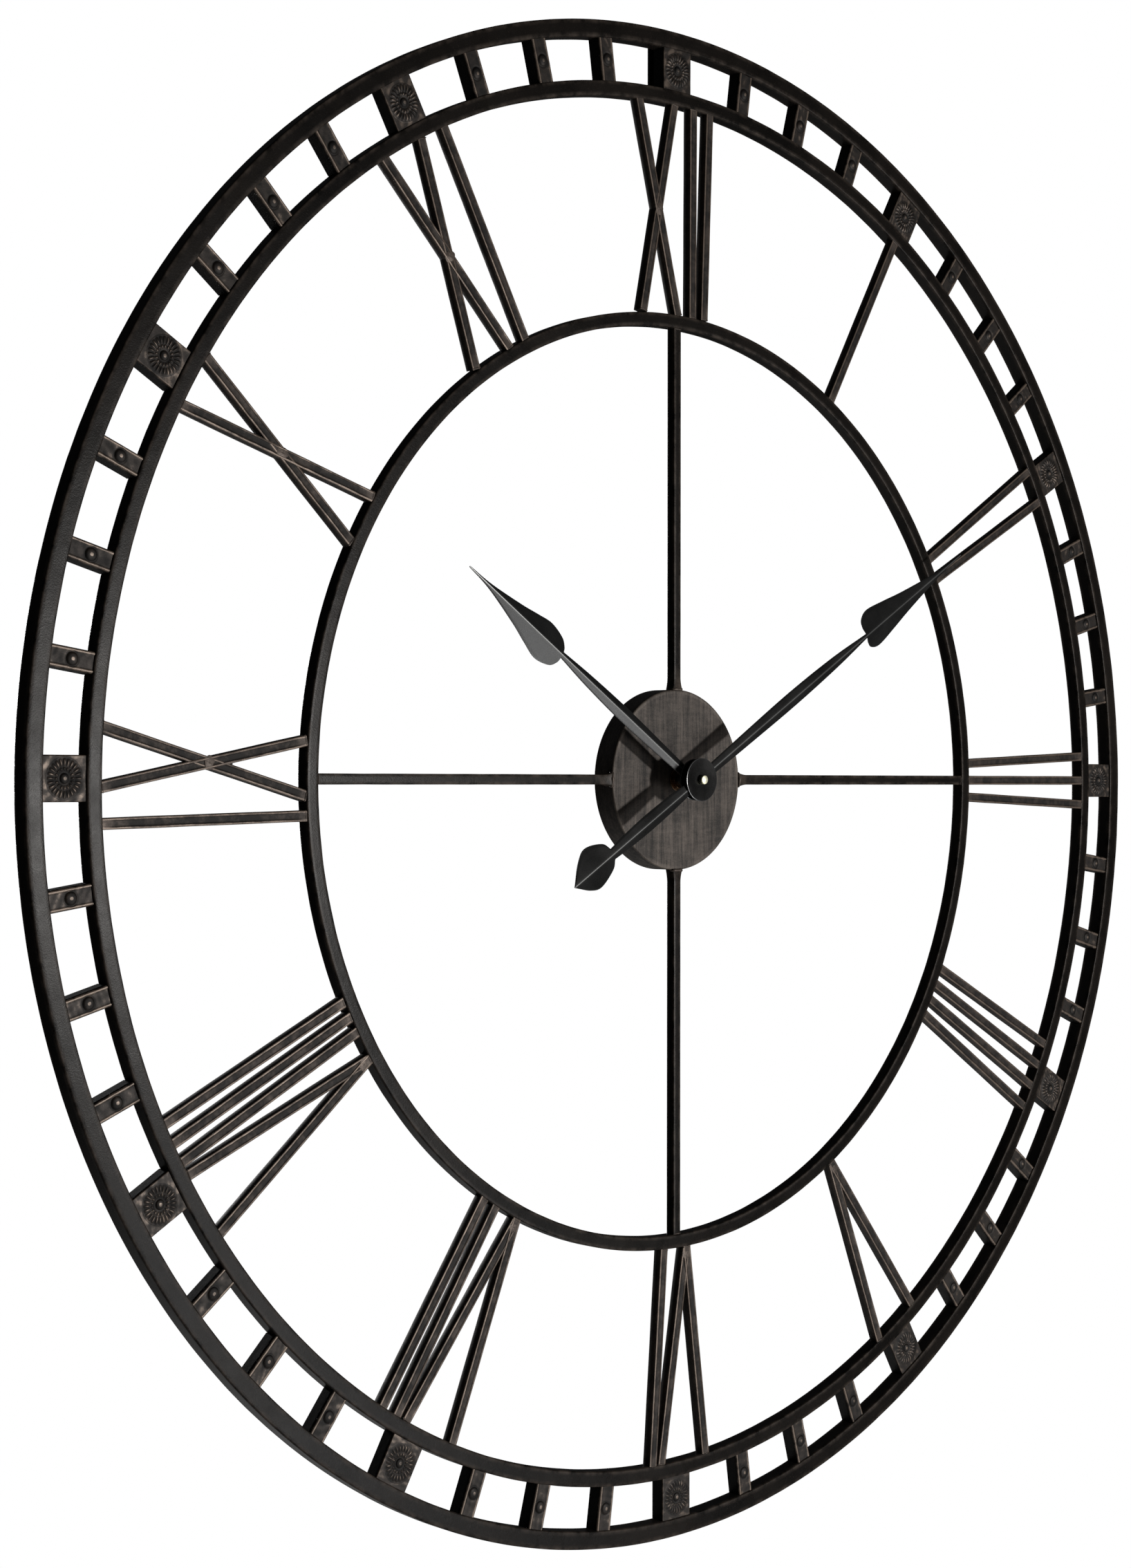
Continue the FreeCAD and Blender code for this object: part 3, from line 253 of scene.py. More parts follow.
# ---- materials ----
def coated_iron(name, dark, pale, rub, grain=900):
    """Black powder coat with a fine orange peel, cloudy patches and a brown rub on its edges."""
    n = Nodes(name)
    cloud = n.ramp(n.noise(14, 5), 0.35, 0.68)
    fine = n.noise(grain, 3)
    base = n.mix(cloud, dark, pale)
    speck = n.ramp(fine, 0.62, 0.74, (0.0, 0.35))
    base = n.mix(speck, base, rub)
    edge = n.math("MULTIPLY", n.worn_and_highlit(), n.ramp(n.noise(90, 5), 0.38, 0.66))
    base = n.mix(n.math("MULTIPLY", edge, 0.75), base, rub)
    rough = n.ramp(n.noise(45, 4), 0.3, 0.7, (0.25, 0.32))
    normal = n.bump(fine, 0.00014, 0.5)
    normal = n.bump(n.noise(60, 3), 0.0003, 0.3, normal)
    return n.finish(base, rough, 0.0, normal, Specular_IOR_Level=0.065)


def rubbed_bronze(name, dark, middle, pale, streak=(1, 1, 1)):
    """Brown bronze wash, dark in hollows and rubbed pale along edges, with short wiping streaks; also pale
    where a tile's boss carries a painted highlight.
    """
    n = Nodes(name)
    wear = n.worn_and_highlit()
    patch = n.noise(70, 6, 0.65)
    lines = n.noise(260, 4, 0.6, streak)
    share = n.math("ADD", wear, n.ramp(patch, 0.3, 0.7, (-0.28, 0.28)))
    share = n.math("ADD", share, n.ramp(lines, 0.3, 0.7, (-0.13, 0.13)), clamp=True)
    low = n.mix(n.ramp(share, 0.0, 0.45), dark, middle)
    base = n.mix(n.ramp(share, 0.55, 1.0), low, pale)
    fine = n.noise(1600, 3)
    rough = n.ramp(n.math("ADD", share, n.ramp(fine, 0.3, 0.7, (-0.15, 0.15))), 0.0, 1.0, (0.60, 0.38))
    normal = n.bump(fine, 0.00010, 0.6)
    normal = n.bump(lines, 0.00018, 0.5, normal)
    return n.finish(base, rough, 0.4, normal, Specular_IOR_Level=0.3)


def wiped_bronze(name):
    """The drum's face: brown-grey wash wiped straight up and down, with a fine grain."""
    n = Nodes(name)
    lines = n.noise(560, 6, 0.75, (1, 1, 0.045))
    broad = n.noise(130, 4, 0.6, (1, 1, 0.10))
    weave = n.noise(420, 5, 0.7, (0.25, 1, 1))
    patch = n.noise(38, 5, 0.6)
    fine = n.noise(1500, 3, 0.7)
    share = n.math("ADD", n.ramp(lines, 0.32, 0.68, (-0.10, 0.60)), n.ramp(broad, 0.35, 0.65, (0, 0.40)))
    share = n.math("ADD", share, n.ramp(patch, 0.3, 0.7, (-0.16, 0.20)))
    share = n.math("ADD", share, n.ramp(weave, 0.35, 0.65, (-0.14, 0.14)))
    share = n.math("ADD", share, n.ramp(fine, 0.3, 0.7, (-0.22, 0.22)), clamp=True)
    base = n.mix(share, (0.0075, 0.0060, 0.0050), (0.066, 0.052, 0.042))
    base = n.mix(n.math("MULTIPLY", n.worn_and_highlit(), n.ramp(patch, 0.3, 0.6)), base, (0.15, 0.125, 0.105))
    rough = n.ramp(share, 0.0, 1.0, (0.66, 0.50))
    normal = n.bump(fine, 0.00012, 0.6)
    normal = n.bump(lines, 0.00015, 0.5, normal)
    return n.finish(base, rough, 0.35, normal)


def gunmetal(name, color, pale, rough=0.36):
    """Satin black on smooth sheet, with a faint grain, cloudy tone, and a painted highlight in pale on a
    hand's ridge and edges and on a disc's rim.
    """
    n = Nodes(name)
    fine = n.noise(1300, 3)
    cloud = n.noise(30, 4)
    base = n.mix(n.ramp(cloud, 0.3, 0.7), color, tuple(1.5 * c for c in color))
    # Painted highlight: the pale colour goes where the mesh marks a hand's ridge and edges or a disc's rim.
    base = n.mix(n.math("MULTIPLY", n.worn_and_highlit(), 0.5), base, pale)
    rough_map = n.ramp(n.math("ADD", n.math("MULTIPLY", fine, 0.35), n.math("MULTIPLY", cloud, 0.65)),
                       0.3, 0.7, (rough - 0.05, rough + 0.08))
    normal = n.bump(fine, 0.00005, 0.5)
    return n.finish(base, rough_map, 0.55, normal)


def turned_metal(name, color, tarnish, rough=0.28):
    """Lathe-turned metal with fine rings round the dial's axis and a little tarnish."""
    n = Nodes(name)
    rings = n.add("ShaderNodeTexWave", {"Vector": n.place, "Scale": 1400, "Distortion": 1.2,
                                        "Detail": 2}, wave_type="RINGS", rings_direction="Y")
    patch = n.noise(160, 5)
    base = n.mix(n.ramp(patch, 0.42, 0.72), color, tarnish)
    rough_map = n.ramp(patch, 0.3, 0.7, (rough - 0.06, rough + 0.12))
    normal = n.bump(rings.outputs["Fac"], 0.00002, 0.5)
    return n.finish(base, rough_map, 1.0, normal)


def moulded(name, color, grain=1400, rough=0.5, sheen=0.5, speck=0.1):
    """Injection-moulded plastic or rubber with a fine spark-eroded grain."""
    n = Nodes(name)
    fine = n.noise(grain, 3)
    cloud = n.noise(55, 4)
    darker = tuple(c * (1 - speck) for c in color)
    base = n.mix(n.ramp(cloud, 0.3, 0.7), darker, color)
    rough_map = n.ramp(cloud, 0.3, 0.7, (rough - 0.05, rough + 0.07))
    normal = n.bump(fine, 0.00006, 0.7)
    return n.finish(base, rough_map, 0.0, normal, Specular_IOR_Level=sheen)


def wound_copper(name):
    """Enamelled wire, wound round the bobbin's long axis."""
    n = Nodes(name)
    wires = n.add("ShaderNodeTexWave", {"Vector": n.place, "Scale": 900, "Distortion": 0.3},
                  wave_type="BANDS", bands_direction="X")
    base = n.mix(wires.outputs["Fac"], (0.22, 0.07, 0.03), (0.62, 0.26, 0.12))
    return n.finish(base, n.ramp(n.noise(300), 0.3, 0.7, (0.28, 0.42)), 0.9,
                    n.bump(wires.outputs["Fac"], 0.00008, 0.8))


def sleeve_print(name):
    """Cell sleeve: dark band for most of its length and a copper band at the nub end."""
    n = Nodes(name)
    along = n.add("ShaderNodeSeparateXYZ", {"Vector": n.place}).outputs[0]
    band = n.ramp(along, 11.8 * MM, 12.2 * MM)
    base = n.mix(band, (0.018, 0.018, 0.022), (0.50, 0.24, 0.10))
    base = n.mix(n.ramp(n.noise(500, 3), 0.55, 0.7, (0, 0.15)), base, (0.3, 0.3, 0.3))
    return n.finish(base, n.ramp(n.noise(80), 0.3, 0.7, (0.22, 0.34)), 0.3,
                    n.bump(n.noise(700, 2), 0.00004, 0.4), Coat_Weight=0.3)


RING_IRON = coated_iron("ring_iron", (0.0045, 0.0040, 0.0036), (0.012, 0.0100, 0.0086),
                        (0.060, 0.048, 0.040), 1000)
SPOKE_IRON = coated_iron("spoke_iron", (0.0055, 0.0048, 0.0044), (0.013, 0.011, 0.0095),
                         (0.10, 0.080, 0.066), 1100)
HANGER_IRON = coated_iron("hanger_iron", (0.010, 0.0095, 0.009), (0.018, 0.017, 0.016),
                          (0.06, 0.05, 0.045), 1200)
NUMERAL_BRONZE = rubbed_bronze("numeral_bronze", (0.006, 0.005, 0.0045), (0.038, 0.029, 0.0235),
                               (0.115, 0.088, 0.070))
TILE_BRONZE = rubbed_bronze("tile_bronze", (0.0035, 0.0029, 0.0026), (0.016, 0.0122, 0.0098),
                            (0.135, 0.105, 0.084))
HUB_BRONZE = wiped_bronze("hub_bronze")
WELD_BRONZE = rubbed_bronze("weld_bronze", (0.016, 0.013, 0.011), (0.060, 0.047, 0.039),
                            (0.13, 0.105, 0.088))
# The pale colours of hand_steel and disc_steel are painted highlights on the hands' ridges and the discs'
# rims.
HAND_STEEL = gunmetal("hand_steel", (0.014, 0.0143, 0.0143), (0.16, 0.165, 0.165), 0.30)
DISC_STEEL = gunmetal("disc_steel", (0.004, 0.004, 0.0042), (0.16, 0.165, 0.17), 0.20)
BRASS = turned_metal("brass", (0.20, 0.12, 0.07), (0.07, 0.04, 0.022))
CAP_BRASS = turned_metal("cap_brass", (0.62, 0.62, 0.48), (0.46, 0.44, 0.31), 0.34)
TUBE_BRASS = turned_metal("tube_brass", (0.66, 0.50, 0.27), (0.36, 0.24, 0.11))
ARBOR_STEEL = turned_metal("arbor_steel", (0.62, 0.61, 0.58), (0.36, 0.35, 0.33))
SPRING_STEEL = turned_metal("spring_steel", (0.70, 0.69, 0.66), (0.42, 0.41, 0.38), 0.32)
SOFT_IRON = turned_metal("soft_iron", (0.46, 0.46, 0.47), (0.25, 0.24, 0.23), 0.45)
CASE_PLASTIC = moulded("case_plastic", (0.020, 0.020, 0.021), 1500, 0.55)
KNOB_PLASTIC = moulded("knob_plastic", (0.30, 0.31, 0.33), 1300, 0.48)
WHEEL_ACETAL = moulded("wheel_acetal", (0.82, 0.81, 0.76), 1800, 0.35)
BOARD_RESIN = moulded("board_resin", (0.045, 0.16, 0.08), 900, 0.38, 0.6, 0.3)
RUBBER = moulded("rubber", (0.016, 0.016, 0.016), 1100, 0.8, 0.3)
COIL_COPPER = wound_copper("coil_copper")
CELL_CAN = sleeve_print("cell_can")

CAD_FINISHES = {material["slot"]: material for material in (
    RING_IRON, SPOKE_IRON, HANGER_IRON, NUMERAL_BRONZE, TILE_BRONZE, HUB_BRONZE, HAND_STEEL, DISC_STEEL,
    BRASS, CAP_BRASS, TUBE_BRASS, ARBOR_STEEL, SPRING_STEEL, SOFT_IRON, CASE_PLASTIC, KNOB_PLASTIC,
    WHEEL_ACETAL, BOARD_RESIN, RUBBER, COIL_COPPER, CELL_CAN)}
for part in frame["record"]["subparts"]:
    slots = frame["nodes"][part["node"]].data.materials
    slots.clear()
    slots.append(CAD_FINISHES[part["material_slot"]])


# ---- mesh helpers ----
def wobble(points, length, seed):
    """Smooth uneven values in -1..1 at points, for hand-made surfaces, from a few crossed waves."""
    rng = np.random.default_rng(seed)
    total = np.zeros(points.shape[:-1])
    for _ in range(5):
        direction = rng.normal(size=3)
        direction /= np.linalg.norm(direction)
        wave = TAU / (length * rng.uniform(0.6, 1.6))
        total = total + np.sin(points @ direction * wave + rng.uniform(0, TAU))
    return total / 3.2


def grid_faces(rows, columns, wrap_rows=False, wrap_columns=False):
    """Quads over a grid of points, optionally joined round on either way."""
    i, j = np.meshgrid(np.arange(rows if wrap_rows else rows - 1),
                       np.arange(columns if wrap_columns else columns - 1), indexing="ij")
    i, j = i.ravel(), j.ravel()
    k, m = (i + 1) % rows, (j + 1) % columns
    return np.stack([i * columns + j, i * columns + m, k * columns + m, k * columns + j], 1)


class Shape:
    """Points, faces and per-point values of wear and of painted highlight that become one mesh."""

    def __init__(self):
        self.points, self.faces, self.wear, self.count = [], [], [], 0

    def add(self, points, faces, wear=0.0):
        points = np.asarray(points, float).reshape(-1, 3)
        self.points.append(points)
        self.faces += [[int(index) + self.count for index in face] for face in faces]
        self.wear.append(np.broadcast_to(np.asarray(wear, float).ravel(), len(points)))
        self.count += len(points)

    def take(self, other):
        """Another shape's points and faces, added to this one's."""
        self.faces += [[index + self.count for index in face] for face in other.faces]
        self.points += other.points
        self.wear += other.wear
        self.count += other.count

    def loft(self, sections, wear=0.0, closed=False, capped=True):
        """Skin over closed outlines of equal length. closed joins the last outline to the first."""
        sections = np.asarray(sections, float)
        rows, columns = sections.shape[:2]
        faces = list(grid_faces(rows, columns, closed, True))
        if capped and not closed:
            faces.append(list(range(columns))[::-1])
            faces.append(list(range((rows - 1) * columns, rows * columns)))
        wear = np.broadcast_to(np.asarray(wear, float), (rows, columns))
        self.add(sections, faces, wear)

    def revolve(self, profile, around=96, wear=0.0, closed=True):
        """Turns a profile of (radius, height) about the dial's axis."""
        profile = np.asarray(profile, float)
        angle = np.linspace(0, TAU, around, endpoint=False)
        radius, height = profile[:, 0], profile[:, 1]
        points = np.stack([np.sin(angle)[:, None] * radius,
                           np.broadcast_to(height, (around, len(profile))),
                           np.cos(angle)[:, None] * radius], 2)
        wear = np.broadcast_to(np.asarray(wear, float), (around, len(profile)))
        self.add(points, grid_faces(around, len(profile), True, closed), wear)

    def turned(self, angle):
        """The points turned clockwise about the dial's centre."""
        a = math.radians(angle)
        for points in self.points:
            x, z = points[:, 0].copy(), points[:, 2].copy()
            points[:, 0] = x * math.cos(a) + z * math.sin(a)
            points[:, 2] = -x * math.sin(a) + z * math.cos(a)
        return self

    def build(self, name, material, body, nodes=(), slot=None, sharp=35):
        """Makes the Blender piece. Heights off the wall become -y."""
        points = np.concatenate(self.points)
        points = np.stack([points[:, 0], -points[:, 1], points[:, 2]], 1)
        mesh = bpy.data.meshes.new(name)
        mesh.from_pydata(points.tolist(), [], self.faces)
        mesh.attributes.new("wear", "FLOAT", "POINT").data.foreach_set(
            "value", np.clip(np.concatenate(self.wear), 0, 1).astype(np.float32))
        mesh.materials.append(material)
        piece = bpy.data.objects.new(name, mesh)
        bpy.context.scene.collection.objects.link(piece)
        outward(mesh)
        mesh.shade_smooth()
        mesh.set_sharp_from_angle(angle=math.radians(sharp))
        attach(piece, body)
        if nodes:
            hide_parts(*nodes)


def outward(mesh):
    """Faces turned to face out of the solid."""
    work = bmesh.new()
    work.from_mesh(mesh)
    bmesh.ops.recalc_face_normals(work, faces=work.faces)
    work.to_mesh(mesh)
    work.free()


def rounded(half_u, half_v, corner, steps=4, flats=2):
    """Rounded rectangle as (u, v, wear) points, with wear on its corners."""
    points = []
    signs = ((1, 1), (-1, 1), (-1, -1), (1, -1))
    for quarter, (su, sv) in enumerate(signs):
        cu, cv = su * (half_u - corner), sv * (half_v - corner)
        for step in range(steps + 1):
            a = math.pi / 2 * (quarter + step / steps)
            points.append((cu + corner * math.cos(a), cv + corner * math.sin(a), 1.0))
        ahead = signs[(quarter + 1) % 4]
        a = math.pi / 2 * (quarter + 1)
        end = (cu + corner * math.cos(a), cv + corner * math.sin(a))
        start = (ahead[0] * (half_u - corner) + corner * math.cos(a),
                 ahead[1] * (half_v - corner) + corner * math.sin(a))
        for flat in range(1, flats + 1):
            t = flat / (flats + 1)
            points.append((end[0] * (1 - t) + start[0] * t, end[1] * (1 - t) + start[1] * t, 0.0))
    return np.array(points)


def bead(shape, path, radius, seed, wear=0.55):
    """Weld bead along a path of points: a fat ripple that tapers off at both ends."""
    rng = np.random.default_rng(seed)
    path = np.asarray(path, float)
    count = 12
    t = np.linspace(0, 1, count)
    steps = np.linspace(0, 1, len(path))
    line = np.stack([np.interp(t, steps, path[:, axis]) for axis in range(3)], 1)
    run = np.gradient(line, axis=0)
    run /= np.linalg.norm(run, axis=1)[:, None] + 1e-12
    side = np.cross(run, (0, 1, 0))
    side /= np.linalg.norm(side, axis=1)[:, None] + 1e-12
    up = np.cross(side, run)
    size = radius * (0.35 + 0.65 * np.sin(np.pi * np.clip(t, 0.03, 0.97)) ** 0.5)
    size *= 1 + 0.16 * np.sin(t * TAU * 2.5 + rng.uniform(0, TAU)) + rng.uniform(-0.08, 0.08, count)
    a = np.linspace(0, TAU, 10, endpoint=False)
    ring = line[:, None] + size[:, None, None] * (np.cos(a)[None, :, None] * side[:, None]
                                                   + np.sin(a)[None, :, None] * up[:, None])
    shape.loft(ring, wear)


# ---- rings ----
def square_ring(name, outside, tube, seed):
    """Rolled square tube with soft corners, a little uneven from rolling."""
    around = 720
    u, v, rubbed = rounded(tube / 2, tube / 2, TUBE_CORNER, 4, 3).T
    angle = np.linspace(0, TAU, around, endpoint=False)
    middle = outside - tube / 2
    radial = np.stack([np.sin(angle), np.zeros(around), np.cos(angle)], 1)[:, None]
    points = radial * (middle + u)[:, None]
    points[..., 1] = RING_FRONT - tube / 2 + v
    uneven = wobble(points, 90 * MM, seed) * 0.10 * MM + wobble(points, 20 * MM, seed + 1) * 0.04 * MM
    shrink = 1 - (np.abs(uneven) + 0.02 * MM)[..., None] / (tube / 2)
    centre = radial * middle + np.array([0, RING_FRONT - tube / 2, 0])
    shape = Shape()
    shape.loft(centre + (points - centre) * shrink, rubbed, closed=True)
    shape.build(name + "_finish", RING_IRON, "dial_frame", [name], sharp=60)


# ---- spokes ----
def spoke(hour, seed):
    """Square tube with a broad rubbed weld where it meets the drum."""
    half = SPOKE_WIDTH / 2
    start, end = HUB_RADIUS - SINK, INNER_INSIDE + SINK
    along = np.concatenate([np.linspace(start, start + 20 * MM, 14),
                            np.linspace(start + 24 * MM, end, 60)])[:, None]
    u, v, rubbed = rounded(half, half, BAR_CORNER, 3, 2).T
    flare = np.clip(1 - (along - start) / SPOKE_WELD_LENGTH, 0, 1) ** 1.6
    sections = np.zeros((len(along), len(u), 3))
    sections[..., 0] = u * (1 + SPOKE_WELD_FLARE * flare)
    sections[..., 1] = SPOKE_FRONT - half + v
    sections[..., 1] += np.where(v > 0, SPOKE_WELD_RISE, 0) * flare
    sections[..., 2] = along
    sections[..., 0] *= 1 - 0.02 * np.abs(wobble(sections, 50 * MM, seed))
    rub = np.clip(1 - (along - start) / SPOKE_RUB_LENGTH, 0, 1) ** 1.3
    shape = Shape()
    shape.loft(sections, np.maximum(rubbed * 0.8, rub * (v > -half * 0.4)))
    name = f"spoke_{hour:02d}"
    shape.turned(30 * hour).build(name + "_finish", SPOKE_IRON, "dial_frame", [name], sharp=50)


# ---- numerals ----
def strokes(kind, head, foot):
    """The straight strokes of a letter, as (x at the head, x at the foot), mm."""
    if kind == "X":
        return [(head - X_HEAD / 2, foot + X_FOOT / 2), (head + X_HEAD / 2, foot - X_FOOT / 2)]
    if kind == "V":
        return [(head - V_HEAD / 2, foot), (head + V_HEAD / 2, foot)]
    return [(head, foot)]


def stroke_profile(half, groove):
    """Section of a stroke with its sunken line, as (u, v, wear) from the bar's middle."""
    r, nip = BAR_CORNER, BAR_CORNER * 0.3
    lip = GROOVE_HALF + 0.25 * MM
    right = [(half, -half + r, 0.2), (half, 0, 0.25), (half, half - r, 0.7),
             (half - nip, half - nip, 1.0), (half - r, half, 0.95), (lip, half, 0.75),
             (GROOVE_HALF - 0.15 * MM, half - groove * 0.8, 0.15),
             (GROOVE_HALF * 0.5, half - groove, 0.05)]
    left = [(-u, v, w) for u, v, w in reversed(right)]
    bottom = [(-half + nip, -half + nip, 0.6), (-half + r, -half, 0.5), (0, -half, 0.1),
              (half - r, -half, 0.5), (half - nip, -half + nip, 0.6)]
    return np.array(right + left + bottom)


def stroke(shape, head, foot, drop, seed):
    """One stroke from the inner ring to the chapter ring, its line fading out at both ends."""
    a = np.array([foot * MM, INNER_RADIUS - SINK])
    b = np.array([head * MM, CHAPTER_INSIDE + SINK])
    length = np.linalg.norm(b - a)
    along = (b - a) / length
    across = np.array([along[1], -along[0]])
    middle = BAR_FRONT - drop - BAR_WIDTH / 2
    count = 44
    t = np.linspace(0, length, count)
    depth = np.clip((np.minimum(t, length - t) - GROOVE_START) / GROOVE_FADE, 0, 1)
    depth *= 1 - 0.25 * np.random.default_rng(seed).random(count)
    sections, wear = [], []
    for distance, share in zip(t, depth):
        u, v, rubbed = stroke_profile(BAR_WIDTH / 2, GROOVE_DEPTH * share).T
        at = a + along * distance
        uneven = u * (1 + 0.012 * math.sin(distance * 90 + seed))
        sections.append(np.stack([at[0] + across[0] * uneven, middle + v, at[1] + across[1] * uneven], 1))
        in_groove = (np.abs(u) < GROOVE_HALF) & (v > 0)
        wear.append(np.where(in_groove, 0.40 * (1 - share) + rubbed * share, rubbed))
    shape.loft(sections, np.array(wear))
    return a, b, across


def end_welds(welds, at, across, seed):
    """A bead over a stroke's front where it meets a ring, and one down each of its sides."""
    top, foot = BAR_FRONT - 0.45 * MM, BAR_FRONT - BAR_WIDTH * 0.9
    left, right = at - across * BAR_WIDTH / 2 * 1.02, at + across * BAR_WIDTH / 2 * 1.02
    bead(welds, [(left[0], top, left[1]), (at[0], top + 0.1 * MM, at[1]), (right[0], top, right[1])],
         0.62 * MM, seed, 0.45)
    for side in (left, right):
        bead(welds, [(side[0], top, side[1]), (side[0], foot, side[1])], 0.7 * MM, seed + 7, 0.35)


def numeral(hour, letters):
    """Letters of one numeral, with the welds that hold them."""
    shape, welds = Shape(), Shape()
    seed = 100 * hour
    weld_reach = np.array([0, SINK * 1.2])
    for kind, head, foot in letters:
        lines = []
        for number, (x_head, x_foot) in enumerate(strokes(kind, head, foot)):
            seed += 1
            lines.append(stroke(shape, x_head, x_foot, STROKE_SET_BACK * number, seed))
        for a, b, across in lines:
            for at in (a + weld_reach, b - weld_reach):
                seed += 1
                end_welds(welds, at, across, seed)
        if kind == "X":
            crossing(welds, lines, seed)
        if kind == "V":
            apex(welds, lines, seed)
    name = f"numeral_{hour:02d}"
    shape.turned(30 * hour).build(name + "_finish", NUMERAL_BRONZE, "dial_frame", [name], sharp=40)
    welds.turned(30 * hour).build(name + "_welds", WELD_BRONZE, "dial_frame", slot="numeral_bronze",
                                  sharp=80)


def meeting(first, second):
    """Where two strokes' middles cross, their bisector and spread, and the step to their corner."""
    (a, b, _), (c, d, _) = first, second
    run, other = (b - a) / np.linalg.norm(b - a), (d - c) / np.linalg.norm(d - c)
    t, _ = np.linalg.solve(np.array([run, -other]).T, c - a)
    sine = abs(run[0] * other[1] - run[1] * other[0])
    bisector = (run + other) / np.linalg.norm(run + other)
    return a + run * t, bisector, run - other, (run + other) * (BAR_WIDTH / 2) / sine


def crossing(welds, lines, seed):
    """Fillets in the two narrow corners of an X, and a low ground pad over its middle."""
    at, bisector, spread, corner = meeting(*lines)
    height = BAR_FRONT - 1.0 * MM
    for number, way in enumerate((1, -1)):
        middle = at + way * (corner + bisector * 1.5 * MM)
        start, end = middle - way * spread * 0.8 * MM, middle + way * spread * 0.8 * MM
        bead(welds, [(start[0], height, start[1]), (end[0], height, end[1])], 1.0 * MM, seed + number, 0.4)
    pad(welds, at, 4.6 * MM, BAR_FRONT - STROKE_SET_BACK, 0.38 * MM, seed)


def apex(welds, lines, seed):
    """Ground pad where the strokes of a V run together, and a fillet in its crotch."""
    at, bisector, _, corner = meeting(*lines)
    crotch = at + corner
    pad(welds, at + bisector * 7 * MM, 4.2 * MM, BAR_FRONT - STROKE_SET_BACK, 0.32 * MM, seed)
    bead(welds, [(crotch[0], BAR_FRONT - 0.6 * MM, crotch[1]),
                 (crotch[0], BAR_FRONT - BAR_WIDTH * 0.85, crotch[1])], 1.2 * MM, seed + 5, 0.35)


def pad(shape, at, radius, height, rise, seed):
    """Low uneven mound of ground weld metal."""
    rings, around, skirt = 8, 28, 0.4 * MM
    rng = np.random.default_rng(seed)
    angle = np.linspace(0, TAU, around, endpoint=False)
    edge = radius * (1 + 0.12 * np.sin(2 * angle + rng.uniform(0, TAU)) + 0.06 * np.sin(5 * angle))
    share = np.linspace(0.001, 1, rings)
    r = share[:, None] * edge
    lift = rise * (1 - share ** 2)[:, None] * (1 + 0.15 * np.sin(3 * angle + rng.uniform(0, TAU)))
    points = np.stack([at[0] + r * np.sin(angle), height + lift, at[1] + r * np.cos(angle)], 2)
    base = points[-1:].copy()
    base[..., 1] -= skirt
    centre = np.array([at[0], height - skirt, at[1]])
    shape.loft(np.concatenate([points, base, base * 0.2 + centre * 0.8]), 0.5)


# ---- pressed tiles ----
def bump_between(value, low, high):
    """A smooth rise and fall between two values."""
    return np.sin(np.pi * np.clip((value - low) / (high - low), 0, 1))


def dome(r, radius):
    """Round boss of unit height."""
    return np.sqrt(np.clip(1 - (r / radius) ** 2, 0, 1))


def rosette_relief(x, z):
    """Height of the flower tile's press work over its flat, in metres, and how rubbed it is, with a painted
    highlight on the top of its boss.
    """
    x, z = x / MM, z / MM
    r = np.hypot(x, z)
    a = np.arctan2(x, z)
    petals = 0.5 + 0.5 * np.cos(PETALS * a)
    beads = 0.5 + 0.5 * np.cos(BEADS * a + 0.4)
    outer = bump_between(r, *PETAL_BAND) ** 0.7
    inner = bump_between(r, *BEAD_BAND)
    boss = dome(r, ROSETTE_BOSS)
    height = 0.10 * bump_between(r, *RIM_BAND)
    height = height + outer * (0.18 + 0.62 * petals ** 0.8)
    height = height + inner * (0.16 + 0.55 * beads)
    height = height - 0.45 * np.clip(1 - (r / ROSETTE_DISH) ** 2, 0, 1)
    height = height + 1.55 * boss
    rub = 0.30 + 0.75 * (outer * (petals - 0.35) + inner * (beads - 0.35)) + 0.25 * (r > 14.4)
    # The boss is dark, with a painted highlight, a pale dot, at its top.
    rub = np.where(r < 3.4, 0.10 + 0.75 * (boss > 0.93), rub)
    rub = np.where((r > 3.4) & (r < ROSETTE_DISH), 0.05, rub)
    return height * MM, rub


def marker_relief(x, z):
    """Height of the narrow tile's press work over its flat, in metres, and how rubbed it is, with a painted
    highlight on the top of its boss.
    """
    x, z = x / MM, z / MM
    r = np.hypot(x, z)
    strip = bump_between(np.abs(x), *MARKER_STRIP)
    moat = bump_between(r, *MARKER_MOAT)
    boss = dome(r, MARKER_BOSS)
    height = 0.42 * strip * (1 - 0.7 * (r < 5.4)) - 0.16 * moat + 1.35 * boss
    rub = 0.34 + 0.85 * strip - 0.35 * moat
    # The boss is dark, with a painted highlight, a pale dot, at its top.
    rub = np.where(r < 4.4, 0.12 + 0.8 * (boss > 0.95), rub)
    return height * MM, rub


def tile_front(half, relief, step, seed):
    """Grid of points over a tile's front, from ring to ring, and how rubbed each one is, with the relief's
    painted highlight on its boss.
    """
    low, high = CHAPTER_RADIUS - SINK / 2, OUTER_INSIDE + SINK / 2
    columns = 2 * int(half / step) + 1
    rows = int((high - low) / step) + 1
    x, r = np.meshgrid(np.linspace(-half, half, columns), np.linspace(low, high, rows))
    z = np.sqrt(r * r - x * x)
    lift, rub = relief(x, z - TILE_MIDDLE)
    inset = np.clip((np.abs(x) - (half - TILE_ROLL)) / TILE_ROLL, 0, 1)
    fall = TILE_ROLL * (1 - np.sqrt(np.clip(1 - inset ** 2, 0, 1)))
    flat = np.stack([x, np.zeros_like(x), z], 2)
    uneven = wobble(flat, 12 * MM, seed) * 0.05 * MM
    height = TILE_FRONT + np.where(inset > 0, np.minimum(lift, 0.1 * MM), lift) + uneven - fall
    rub = rub + 0.25 * wobble(flat, 6 * MM, seed + 1) + 0.35 * bump_between(inset, 0.0, 1.0)
    return np.stack([x, height, z], 2), rub


